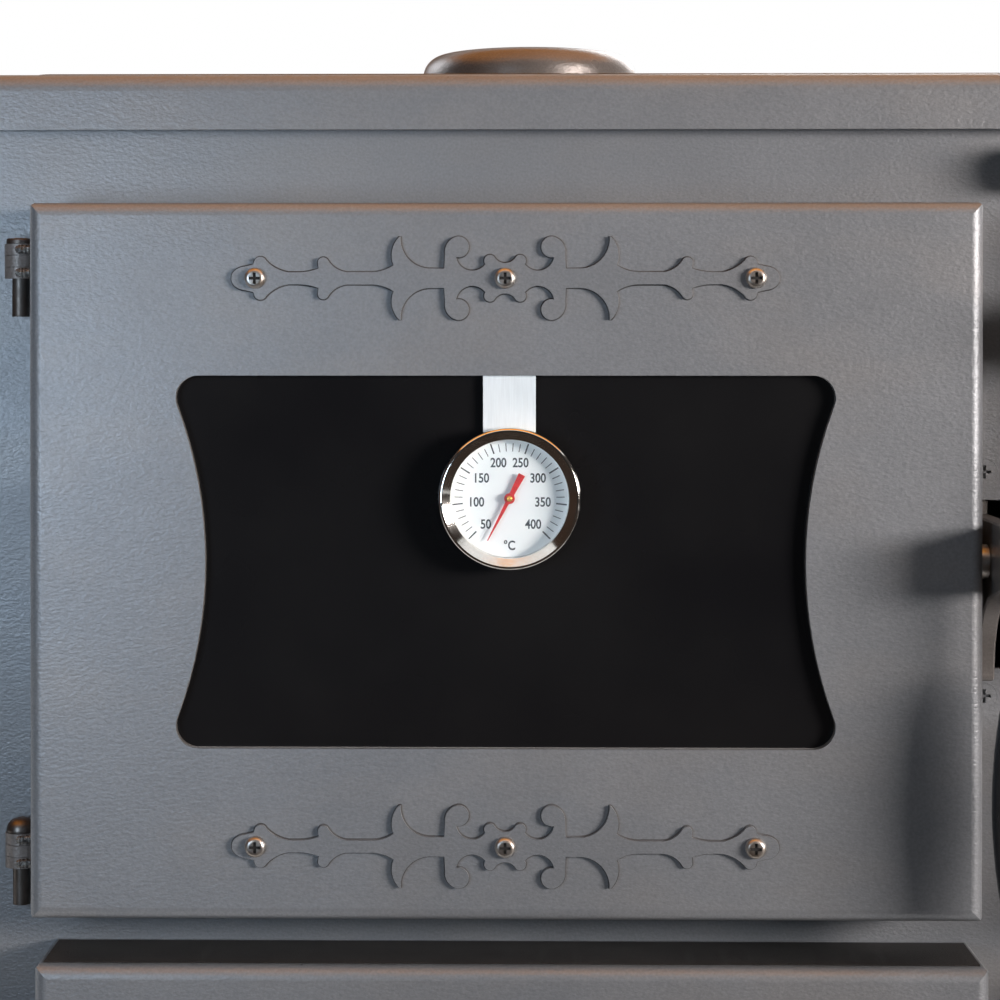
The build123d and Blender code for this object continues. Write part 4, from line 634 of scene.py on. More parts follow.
@dataclass(frozen=True)
class ClearGlass(Finish):
    """Thin flat clear glass, cut round: the dial shows through, and only a soft shine tells it is there."""

    def pattern(self, on: Ground) -> Sockets:
        """Lays the faintest haze of handling.

        Args:
            on: what it is laid on.

        Returns:
            What goes into the shader\'s sockets.
        """
        rough = on.patches(9, 0.0, 0.03, detail=2)
        return {"Base Color": WHITE, "Roughness": rough, "IOR": 1.45, "Transmission Weight": 1.0}

    def surface(self, tree: Tree, shader: Socket) -> Socket:
        """Lets light through to the dial, which glass bends too little to shade.

        Args:
            tree: the material's nodes.
            shader: the glass itself.

        Returns:
            What reaches the output.
        """
        path = add_node(tree, "ShaderNodeLightPath").outputs
        rays = {0: path["Is Shadow Ray"], 1: path["Is Diffuse Ray"]}
        lit = add_node(tree, "ShaderNodeMath", rays, operation="MAXIMUM").outputs[0]
        clear = add_node(tree, "ShaderNodeBsdfTransparent").outputs[0]
        return add_node(tree, "ShaderNodeMixShader", {0: lit, 1: shader, 2: clear}).outputs[0]


@dataclass(frozen=True)
class Lacquer(Finish):
    """A thin coat of lacquer or stoved ink on metal: flat colour, softly uneven, with its own gloss."""

    base: str
    worn: str
    roughness: float
    patch: float = 5.0

    def pattern(self, on: Ground) -> Sockets:
        """Lays the coat's thick and thin places.

        Args:
            on: what it is laid on.

        Returns:
            What goes into the shader\'s sockets.
        """
        tone = on.layered(self.base, Coat(on.patches(self.patch, -0.2, 1.0, detail=4), self.worn))
        rough = on.patches(self.patch / 2, self.roughness * 0.85, self.roughness * 1.15)
        return {"Base Color": tone, "Roughness": rough, "Relief": (on.patches(0.6, 0, 1), 0.006)}


@dataclass(frozen=True)
class WeldMetal(Finish):
    """Mild steel laid by arc: a ripple with bright tops and dark hollows."""

    base: str = "#8b8a86"
    dark: str = "#4b4a4a"

    def pattern(self, on: Ground) -> Sockets:
        """Lays the ripples' bright tops and dark hollows.

        Args:
            on: what it is laid on.

        Returns:
            What goes into the shader\'s sockets.
        """
        tone = on.layered(self.base, Coat(on.patches(2.2, -0.1, 1.1, detail=4), self.dark))
        ripples = on.patches(1.3, 0, 1, detail=3)
        return {"Base Color": tone, "Metallic": 0.6, "Roughness": 0.42, "Relief": (ripples, 0.35)}


HEAT_PAINT = HeatPaint("silvery_heat_paint")
HINGE_PAINT = HeatPaint(
    "hinge_heat_paint", base="#8f8884", cloud="#7b746f", wiped="#9c9591", cloud_size=9, peel_depth=0.14
)
PLATE_PAINT = HeatPaint("scroll_plate_paint", base="#878a8e", cloud="#818488", wiped="#8a8a8b", speck_share=0.2)
LEVER_PAINT = HeatPaint(
    "lever_heat_paint", base="#8b8683", cloud="#7a7571", wiped="#979290", cloud_size=30, roughness=0.36
)
FLUE_PAINT = HeatPaint(
    "flue_heat_paint", base="#87807c", cloud="#7a726d", wiped="#8d8681", cloud_size=45, roughness=0.3
)
GROUND_IRON = GroundIron("ground_cast_iron")
CAST_IRON = CastIron("sand_cast_iron")
BAKELITE = Bakelite("black_bakelite")
PIN_STEEL = SteelFinish(
    "turned_pin_steel", base="#6f6a66", tint="#49423d", roughness=0.45, marks=1.2, run=(1, 1, 0.4)
)
SCREW_ZINC = SteelFinish(
    "zinc_plated_screw", base="#c6c3bf", tint="#8e7a63", roughness=0.36, tint_size=5, tint_share=0.7
)
# The strap's near-white, faintly blue colour with little metal: partly brushed steel's own pale tone, partly a
# painted bright reflection.
STRAP_STEEL_AND_SHINE = SteelFinish(
    "brushed_strap_steel_and_painted_shine",
    base="#f2fbff",
    tint="#e6f2f8",
    roughness=0.5,
    metallic=0.12,
    run=(1, 1, 0.06),
    tint_size=20,
)
BEZEL_STEEL = SteelFinish(
    "polished_bezel_steel", base="#e6e4e0", tint="#cbc7c1", roughness=0.1, marks=0.9, mark_depth=0.002
)
RACK_CHROME = SteelFinish(
    "chromed_rack_wire", base="#dcdcdc", tint="#b09a78", roughness=0.12, tint_size=40, mark_depth=0.004
)
BRASS = SteelFinish("turned_brass", base="#d8a552", tint="#a87532", roughness=0.25, tint_size=2)
ZINC = ZincSheet("spangled_zinc_sheet")
LINER = HeatedSheet("aluminised_liner")
BAFFLE = HeatedSheet("sooted_baffle", sooted=1.3)
ENAMEL = SpeckledEnamel("speckled_oven_enamel")
SOOTED = SootedPlate("sooted_steel_plate")
BRICK = Fireclay("smoked_fireclay")
ROPE = GlassRope("knitted_glass_rope")
# Near-black woven sheet for the drawer fronts' tops: painted shade in the gaps under the doors.
DRAWER_TOP_SHADE = GlassRope("black_drawer_top_shade", base="#1a1919", yarn="#282625", rub="#141313", sheen=0.01)
CERAMIC = BlackCeramic("black_glass_ceramic")
GLASS = ClearGlass("clear_dial_glass")
DIAL = Lacquer("white_dial_enamel", base="#f5fcfd", worn="#ebf5f8", roughness=0.42, patch=22)
INK = Lacquer("dial_ink", base="#16222c", worn="#33454f", roughness=0.6, patch=2.2)
RED = Lacquer("red_needle_lacquer", base="#d3151d", worn="#a90f1b", roughness=0.35, patch=4)
WELD = WeldMetal("arc_weld")
# Near-black lining for the screws' cross recesses: painted shade at the bottom of each recess.
RECESS_SHADE = Lacquer("painted_recess_shade", base="#151413", worn="#292725", roughness=0.8, patch=1.5)
# Dark grey line round the scroll plates: painted shade in the crevice between plate and door.
SEAM_SHADE = Lacquer("painted_seam_shade", base="#353536", worn="#545557", roughness=0.6, patch=14)


def dress(finish: Finish, *names: str) -> None:
    """Gives CAD nodes their finish.

    Args:
        finish: the finish.
        names: the nodes' names.
    """
    for name in names:
        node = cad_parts[name]
        if not node.material_slots:
            node.data.materials.append(finish.material())
        for slot in node.material_slots:
            slot.material = finish.material()
        LOG.info("%s wears %s", name, finish.name)


# ---- meshes ----


@dataclass
class MeshParts:
    """Vertices and faces gathered for one piece, in metres in the stove's frame."""

    points: list[Point] = field(default_factory=list)
    faces: list[Face] = field(default_factory=list)

    def add(self, points: Iterable[Sequence[float]], faces: Iterable[Face]) -> None:
        """Adds one closed form.

        Args:
            points: its vertices.
            faces: its faces, counted from its own first vertex.
        """
        start = len(self.points)
        self.points += [tuple(p) for p in points]
        self.faces += [tuple(start + i for i in face) for face in faces]

    def add_rings(self, rings: Sequence[Sequence[Sequence[float]]], closed: bool) -> None:
        """Adds a skin over rings of equal count.

        Args:
            rings: the rings in order, each of the same number of points.
            closed: whether the last ring joins the first; if not, both ends get a cap.
        """
        count, around = len(rings), len(rings[0])
        faces = []
        for i in range(count if closed else count - 1):
            j = (i + 1) % count
            for k in range(around):
                n = (k + 1) % around
                faces.append((i * around + k, i * around + n, j * around + n, j * around + k))
        if not closed:
            faces += [tuple(reversed(range(around))), tuple((count - 1) * around + k for k in range(around))]
        self.add([p for ring in rings for p in ring], faces)

    def add_turned(self, profile: Sequence[tuple[float, float]], place: Matrix, sides: Sequence[int]) -> None:
        """Adds a form turned or milled about one axis.

        Args:
            profile: radius and height of each ring, from the foot up.
            place: puts the form in the stove's frame; its axis is Z before that.
            sides: for each ring, 6 for a hexagon, or 0 for a circle.
        """
        steps = 36
        rings = []
        for (radius, height), flats in zip(profile, sides, strict=True):
            ring = []
            for i in range(steps):
                angle = 2 * math.pi * i / steps
                reach = radius
                if flats:
                    half = math.pi / flats
                    reach = radius / math.cos((angle + half) % (2 * half) - half)
                ring.append(place @ Vector((reach * math.cos(angle), reach * math.sin(angle), height)))
            rings.append(ring)
        self.add_rings(rings, closed=False)

    def make(self, piece: "Piece") -> bpy.types.Object:
        """Makes the gathered forms into one piece.

        Args:
            piece: what it is.

        Returns:
            The piece.
        """
        mesh = bpy.data.meshes.new(piece.name)
        mesh.from_pydata(self.points, [], self.faces)
        return piece.settle(mesh)


@dataclass(frozen=True)
class Piece:
    """A piece's name and finish, the body it rides on, and the name of a record's material slot, which is not
    used.

    Its edges that turn by more than `smooth` degrees stay sharp.
    """

    name: str
    finish: Finish
    body: str
    slot: str | None = None
    smooth: float = 35.0

    def settle(self, mesh: bpy.types.Mesh) -> bpy.types.Object:
        """Turns a mesh into the finished piece on its body.

        Args:
            mesh: its mesh, in the stove's frame.

        Returns:
            The piece.
        """
        shape = bmesh.new()
        shape.from_mesh(mesh)
        bmesh.ops.recalc_face_normals(shape, faces=shape.faces)
        shape.to_mesh(mesh)
        shape.free()
        mesh.shade_smooth()
        mesh.set_sharp_from_angle(angle=math.radians(self.smooth))
        mesh.materials.clear()
        mesh.materials.append(self.finish.material())
        made = bpy.data.objects.new(self.name, mesh)
        bpy.context.scene.collection.objects.link(made)
        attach(made, self.body)
        LOG.info("%s: %d faces, on %s", self.name, len(mesh.polygons), self.body)
        return made


@dataclass(frozen=True)
class Stop:
    """A place on a loop: where it is, which way is outward, and how far along the loop it lies."""

    x: float
    z: float
    out_x: float
    out_z: float
    travelled: float


def rounded_loop(
    low: tuple[float, float], high: tuple[float, float], radius: float, step: float
) -> tuple[list[Stop], float]:
    """Follows a rectangle with rounded corners at an even pace.

    Args:
        low: its lowest x and z.
        high: its highest x and z.
        radius: its corners' radius.
        step: about how far apart the stops are.

    Returns:
        The stops, an even number of them, and the loop's length.
    """
    corners = [
        (high[0] - radius, high[1] - radius),
        (low[0] + radius, high[1] - radius),
        (low[0] + radius, low[1] + radius),
        (high[0] - radius, low[1] + radius),
    ]
    runs: list[tuple[float, bool, int]] = []
    for i, corner in enumerate(corners):
        runs.append((radius * math.pi / 2, True, i))
        runs.append((math.dist(corner, corners[(i + 1) % 4]), False, i))
    length = sum(run[0] for run in runs)
    count = 2 * round(length / step / 2)
    stops = []
    for n in range(count):
        left = travelled = length * n / count
        for span, turning, i in runs:
            if left < span:
                break
            left -= span
        start = math.radians(90.0 * i)
        centre = corners[i]
        if turning:
            angle = start + left / radius
        else:
            angle = start + math.pi / 2
            share = left / span
            centre = tuple(a + (b - a) * share for a, b in zip(centre, corners[(i + 1) % 4], strict=True))
        out_x, out_z = math.cos(angle), math.sin(angle)
        at = centre[0] + radius * out_x, centre[1] + radius * out_z
        stops.append(Stop(*at, out_x, out_z, travelled))
    return stops, length


# ---- the stove ----


@dataclass
class Fastenings:
    """Hexagon screws with a pressed washer face."""

    flats: float = 7.0 * MM
    washer: float = 5.0 * MM
    washer_height: float = 0.9 * MM
    height: float = 3.4 * MM
    chamfer: float = 0.5 * MM

    def add(self, parts: MeshParts, at: Point, out: Point, turn: float) -> None:
        """Adds one screw head.

        Args:
            parts: the piece's forms.
            at: where the washer sits.
            out: the direction the head points.
            turn: how far round its flats are, in degrees.
        """
        aim = Vector(out).to_track_quat("Z", "Y").to_matrix().to_4x4()
        place = Matrix.Translation(at) @ aim @ Matrix.Rotation(math.radians(turn), 4, "Z")
        half = self.flats / 2
        profile = [
            (self.washer * 0.97, 0.0),
            (self.washer, self.washer_height * 0.4),
            (self.washer * 0.94, self.washer_height),
            (half, self.washer_height * 1.15),
            (half, self.height - self.chamfer),
            (half - self.chamfer, self.height),
            (half * 0.55, self.height - self.chamfer * 0.4),
        ]
        parts.add_turned(profile, place, [0, 0, 0, 6, 6, 0, 0])


@dataclass
class Casing:
    """The painted sheet-metal body, its feet and the screws that hold its back."""

    painted: tuple[str, ...] = (
        "front_panel",
        "side_panel_left",
        "side_panel_right",
        "back_panel",
        "base_plate",
        "plinth",
        "latch_keepers",
        "keeper_screws",
    )
    screw_inset: float = 9.0 * MM
    seat: float = 0.1 * MM
    screw_rows: tuple[float, ...] = (0.150, 0.300, 0.450, 0.600, 0.725)
    screw: Fastenings = field(default_factory=Fastenings)

    def build(self) -> None:
        """Paints the body, zincs its feet and puts the screws in its back."""
        dress(HEAT_PAINT, *self.painted)
        dress(HINGE_PAINT, "panel_knuckles")
        dress(PIN_STEEL, "hinge_pins")
        dress(ZINC, "levelling_feet")
        low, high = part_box("back_panel")
        parts = MeshParts()
        chance = random.Random(5)
        for x in (low.x + self.screw_inset, high.x - self.screw_inset):
            for z in self.screw_rows:
                self.screw.add(parts, (x, high.y - self.seat, z), (0, 1, 0), chance.uniform(0, 60))
        parts.make(Piece("back_panel_screws", SCREW_ZINC, "stove_body", "fastener_steel"))


@dataclass
class Hob:
    """The folded top, the iron plate let into it, and the plate's ring and plug."""

    def build(self) -> None:
        """Paints the top and blackens the ironwork."""
        dress(HEAT_PAINT, "top_frame")
        dress(GROUND_IRON, "cooking_plate", "cooking_ring", "ring_plug")


@dataclass
class Flue:
    """The two flue collars, the cap on the upper one, the smoke baffle and the damper."""

    bolt_circle: float = 72.5 * MM
    flange: float = 5.0 * MM
    seat: float = 0.1 * MM
    bolt: Fastenings = field(default_factory=Fastenings)

    def build(self) -> None:
        """Paints the flue, dresses the damper and bolts the collars down."""
        dress(FLUE_PAINT, "flue_cap", "flue_collar_top", "flue_collar_rear")
        dress(BAFFLE, "smoke_baffle", "damper_slide")
        dress(BAKELITE, "damper_knob")
        self.bolts("flue_collar_top", "top_collar_bolts", Vector((0, 0, 1)))
        self.bolts("flue_collar_rear", "rear_collar_bolts", Vector((0, 1, 0)))

    def bolts(self, collar: str, name: str, out: Vector) -> None:
        """Puts a bolt in each of a collar's four holes.

        Args:
            collar: the collar's node.
            name: the piece's name.
            out: the direction that the collar points.
        """
        low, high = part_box(collar)
        middle = (low + high) / 2
        foot = middle - out * middle.dot(out) + out * (low.dot(out) + self.flange - self.seat)
        across = (Vector((1, 0, 0)), Vector((0, 1, 0)) if out.z else Vector((0, 0, 1)))
        parts = MeshParts()
        for i in range(4):
            angle = math.radians(45 + 90 * i)
            at = foot + self.bolt_circle * (math.cos(angle) * across[0] + math.sin(angle) * across[1])
            self.bolt.add(parts, tuple(at), tuple(out), 17 * i)
        parts.make(Piece(name, SCREW_ZINC, "stove_body", "fastener_steel"))


@dataclass
class Oven:
    """The enamelled oven and its rack."""

    def build(self) -> None:
        """Enamels the oven and chromes the rack."""
        dress(ENAMEL, "oven_box")
        dress(RACK_CHROME, "oven_rack")


@dataclass
class Firebox:
    """The plate firebox with its bricks and grate."""

    def build(self) -> None:
        """Soots the plate, fires the bricks and leaves the grate as cast."""
        dress(SOOTED, "firebox_shell")
        dress(BRICK, "fire_bricks")
        dress(CAST_IRON, "fire_grate")


@dataclass
class Drawers:
    """The wood, kindling and ash drawers with their runners, and a black sheet on their fronts' tops, which is
    painted shade.
    """

    shade_sheet_inset: float = 3.5 * MM
    shade_sheet_edge: float = 7.0 * MM
    shade_sheet_high: float = 0.7 * MM
    shade_sheet_round: float = 0.5 * MM
    shade_sheet_seat: float = 0.05 * MM
    fray: float = 0.12
    step: float = 4.0 * MM

    def tape(self, drawer: str) -> None:
        """Lays a thin black sheet, woven like tape, on a front's top: painted shade in the gap under the door
        above.

        Args:
            drawer: the drawer's body.
        """
        low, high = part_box(f"{drawer}_front")
        chance = random.Random(len(drawer))
        near, far = low.y + self.shade_sheet_edge, high.y - self.shade_sheet_inset
        left, right = low.x + self.shade_sheet_inset, high.x - self.shade_sheet_inset
        count = round((right - left) / self.step)
        rings = []
        for i in range(count + 1):
            x = left + (right - left) * i / count
            top = high.z + self.shade_sheet_high * chance.uniform(0.92, 1.0)
            edge = near + chance.uniform(-self.fray, self.fray) * MM
            foot, shoulder = high.z - self.shade_sheet_seat, high.z + self.shade_sheet_high * 0.5
            front = [(edge, foot), (edge, shoulder), (near + self.shade_sheet_round, top)]
            back = [(far - self.shade_sheet_round, top), (far, shoulder), (far, foot)]
            rings.append([(x, y, z) for y, z in front + back])
        parts = MeshParts()
        parts.add_rings(rings, closed=False)
        # The sheet is painted shade: it darkens the front's top, which the door above keeps in shade.
        parts.make(Piece(f"{drawer}_top_painted_shade", DRAWER_TOP_SHADE, drawer, "rope_fibre"))

    def build(self) -> None:
        """Paints the fronts, leaves the boxes zinc, fits the black handles and lays the black sheet of painted
        shade on each front's top.
        """
        dress(HEAT_PAINT, "wood_drawer_front", "kindling_drawer_front", "ash_drawer_front", "air_shutter")
        dress(ZINC, "wood_drawer_box", "kindling_drawer_box", "ash_pan", "drawer_runners")
        dress(BAKELITE, "wood_drawer_handle", "kindling_drawer_handle", "ash_drawer_knob")
        for drawer in ("wood_drawer", "kindling_drawer", "ash_drawer"):
            self.tape(drawer)


@dataclass
class RopeSeal:
    """A knitted rope, round in the hand and pressed a little square in its seat."""

    width: float = 10.0 * MM
    corner: float = 16.0 * MM
    strands: int = 6
    cell: float = 4.4 * MM
    relief: float = 0.75 * MM
    step: float = 0.85 * MM
    around: int = 36
    press: float = 2.6
    front: float = -236.0 * MM
    back: float = -225.9 * MM

    def height(self, turn: float, along: float) -> float:
        """The knit's height.

        Args:
            turn: how far round the rope, from 0 to 1.
            along: how far along it, in cells.

        Returns:
            0 in a hollow to 1 on a strand's crown.
        """
        right, left = self.strands * turn + along, self.strands * turn - along
        over = 1 if (math.floor(right) + math.floor(left)) % 2 == 0 else -1
        a, b = right % 1 - 0.5, left % 1 - 0.5
        first = (1 - 3.2 * a * a) * (0.6 + 0.4 * over * math.cos(math.pi * b))
        second = (1 - 3.2 * b * b) * (0.6 - 0.4 * over * math.cos(math.pi * a))
        return max(0.0, first, second)

    def build(self, name: str, node: str, body: str) -> None:
        """Lays the rope round a door's mouth, in place of the CAD node's plain ring.

        Args:
            name: the piece's name.
            node: the gaskets' node.
            body: the door's body.
        """
        low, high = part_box(node)
        half = self.width / 2
        depth = (self.back + self.front) / 2
        half_y = (self.back - self.front) / 2
        inner = (low.x + half, low.z + half), (high.x - half, high.z - half)
        loop, length = rounded_loop(*inner, self.corner - half, self.step)
        cells = 2 * round(length / self.cell / 2)
        rings = []
        for at in loop:
            ring = []
            for i in range(self.around):
                angle = 2 * math.pi * i / self.around
                cos, sin = math.cos(angle), math.sin(angle)
                square = (abs(cos) ** self.press + abs(sin) ** self.press) ** (-1 / self.press)
                knit = self.height(i / self.around, at.travelled / length * cells)
                reach = square * (1 - self.relief / half * (1 - knit))
                x, z = at.x + at.out_x * half * cos * reach, at.z + at.out_z * half * cos * reach
                ring.append((x, depth + half_y * sin * reach, z))
            rings.append(ring)
        parts = MeshParts()
        parts.add_rings(rings, closed=True)
        seal = parts.make(Piece(name, ROPE, body, "rope_fibre", smooth=80))
        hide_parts(node)


@dataclass
class Hinge:
    """A door's welded knuckles, each held by a short run of weld."""

    axis_x: float
    stacks: tuple[float, float]
    axis_y: float = -234.5 * MM
    knuckle: float = 5.3 * MM
    pitch: float = 11.0 * MM
    bead_high: float = 2.45 * MM
    bead_deep: float = 1.7 * MM
    bead_steps: int = 40
    bead_sides: int = 14
    ripple_steps: float = 5.5
    seed: int = 11

    def bead(self, parts: MeshParts, centre_z: float, sign: int, seed: int) -> None:
        """Lays one bead over a knuckle's front and its leaf, up to the door's wall.

        Args:
            parts: the piece's forms.
            centre_z: the knuckle's middle height.
            sign: 1 where the door is right of the hinge, -1 where it is left.
            seed: sets the bead's ripples.
        """
        chance = random.Random(seed)
        route = [(-1.2, -7.3), (1.2, -7.5), (4.0, -6.7), (7.2, -5.7), (10.6, -5.5)]
        rings = []
        for i in range(self.bead_steps + 1):
            t = i / self.bead_steps * (len(route) - 1)
            k = min(int(t), len(route) - 2)
            share = t - k
            x, y = (route[k][n] + (route[k + 1][n] - route[k][n]) * share for n in (0, 1))
            ends = math.sqrt(max(0.02, 1 - abs(2 * i / self.bead_steps - 1) ** 5))
            wave = 0.5 + 0.5 * math.cos(2 * math.pi * i / self.ripple_steps)
            ripple = 1 - 0.13 * wave - chance.uniform(0, 0.08)
            ring = []
            for j in range(self.bead_sides):
                angle = 2 * math.pi * j / self.bead_sides
                lump = ends * ripple * chance.uniform(0.93, 1.0)
                deep = self.bead_deep * lump * math.cos(angle)
                across = self.axis_x + sign * (x * MM - deep * 0.15)
                high = centre_z + self.bead_high * lump * math.sin(angle)
                ring.append((across, self.axis_y + y * MM - deep, high))
            rings.append(ring)
        parts.add_rings(rings, closed=False)

    def build(self, name: str, body: str, side: Side, slot: str) -> None:
        """Welds the outer knuckles of both stacks.

        Args:
            name: the piece's name.
            body: the door's body.
            side: the side of the hinge that the door is on.
            slot: the record's material slot of the knuckles.
        """
        parts = MeshParts()
        for stack_seed, stack in enumerate(self.stacks):
            for n in (0, 1):
                middle = stack + self.knuckle / 2 + n * self.pitch
                self.bead(parts, middle, side.value, self.seed + 2 * stack_seed + n)
        parts.make(Piece(name, WELD, body, slot, smooth=60))


@dataclass
class Door:
    """A pressed door with its liner, glass, scroll plates, seals and hinge welds."""

    prefix: str
    hinge: Hinge
    side: Side
    latch: str
    screws: tuple[float, float]
    plate_thickness: float = 2.0 * MM
    seam_width: float = 0.6 * MM
    seam_height: float = 0.3 * MM
    seam_sink: float = 0.05 * MM
    seam_fade: float = 0.04 * MM
    plate_least: float = 20.0 * MM
    cross: tuple[float, float] = (0.65 * MM, 2.55 * MM)
    cross_depths: tuple[float, float] = (1.75 * MM, 2.4 * MM)
    glass_tape_back: float = -250.0 * MM
    weld_gap: float = 0.01 * MM
    seal: RopeSeal = field(default_factory=RopeSeal)

    def build(self) -> None:
        """Dresses the door's nodes and makes its seals and welds."""
        body = f"{self.prefix}_door"
        dress(HEAT_PAINT, f"{body}_panel")
        dress(HINGE_PAINT, f"{body}_knuckles")
        dress(LINER, f"{body}_liner")
        dress(CERAMIC, f"{body}_glass")
        dress(PLATE_PAINT, f"{self.prefix}_ornaments")
        dress(SCREW_ZINC, f"{body}_fasteners")
        dress(LEVER_PAINT, f"{self.latch}_lever")
        dress(BAKELITE, f"{self.latch}_grip")
        self.seams(body)
        self.recesses(body)
        self.seal.build(f"{body}_rope", f"{body}_gaskets", body)
        self.tape(body)
        self.hinge.build(f"{body}_hinge_welds", body, self.side, "stove_paint")

    def seams(self, body: str) -> None:
        """Lays the fine dark line round each scroll plate: painted shade in the crevice where plate and door
        meet.

        Args:
            body: the door's body.
        """
        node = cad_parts[f"{self.prefix}_ornaments"]
        shape = bmesh.new()
        shape.from_mesh(node.data)
        bmesh.ops.remove_doubles(shape, verts=shape.verts, dist=self.weld_gap)
        bmesh.ops.recalc_face_normals(shape, faces=shape.faces)
        # The list keeps the faces in order, so that the rims come out the same every time.
        front = [face for face in shape.faces if face.normal.y < -0.9]
        inside = set(front)
        after = {}
        for face in front:
            for loop in face.loops:
                if not any(other in inside for other in loop.edge.link_faces if other is not face):
                    after[loop.vert] = loop.link_loop_next.vert
        back = min(vert.co.y for vert in after) + self.plate_thickness
        parts = MeshParts()
        while after:
            start = next(iter(after))
            rim = [start]
            while (vert := after.pop(rim[-1], start)) is not start:
                rim.append(vert)
            spots = [vert.co for vert in rim]
            if max(spot.x for spot in spots) - min(spot.x for spot in spots) < self.plate_least:
                continue
            rings = []
            for i, spot in enumerate(spots):
                along = spots[(i + 1) % len(spots)] - spots[i - 1]
                out = Vector((along.z, 0, -along.x)).normalized()
                foot, top = back + self.seam_sink, back - self.seam_height
                inner, outer = spot - out * self.seam_sink, spot + out * self.seam_width
                edge = ((inner, foot), (inner, top), (outer, back - self.seam_fade), (outer, foot))
                rings.append([(at.x, y, at.z) for at, y in edge])
            parts.add_rings(rings, closed=True)
        shape.free()
        parts.make(Piece(f"{self.prefix}_ornament_seam_shade", SEAM_SHADE, body))

    def recesses(self, body: str) -> None:
        """Puts a near-black lining at the bottom of the cross in each scroll-plate screw: painted shade in the
        recess.

        Args:
            body: the door's body.
        """
        low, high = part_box(f"{self.prefix}_ornaments")
        middle = (low + high) / 2
        reach, rise = self.screws
        thin, wide = self.cross
        outline = [(thin, thin), (thin, wide), (-thin, wide), (-thin, thin), (-wide, thin), (-wide, -thin)]
        outline += [(-x, -z) for x, z in outline]
        parts = MeshParts()
        for x in (middle.x - reach, middle.x, middle.x + reach):
            for z in (middle.z - rise, middle.z + rise):
                layers = [[(x + a, low.y - deep, z + b) for a, b in outline] for deep in self.cross_depths]
                parts.add_rings(layers, closed=False)
        parts.make(Piece(f"{self.prefix}_screw_recess_shade", RECESS_SHADE, body))

    def tape(self, body: str) -> None:
        """Makes the flat tape under the glass from the front part of the gaskets' own shape.

        Args:
            body: the door's body.
        """
        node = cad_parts[f"{body}_gaskets"]
        mesh = node.data.copy()
        mesh.name = f"{body}_glass_tape"
        shape = bmesh.new()
        shape.from_mesh(mesh)
        behind = [vert for vert in shape.verts if vert.co.y > self.glass_tape_back]
        bmesh.ops.delete(shape, geom=behind, context="VERTS")
        bmesh.ops.remove_doubles(shape, verts=shape.verts, dist=self.weld_gap)
        shape.to_mesh(mesh)
        shape.free()
        tape = Piece(mesh.name, ROPE, body, "rope_fibre").settle(mesh)
        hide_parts(node.name)


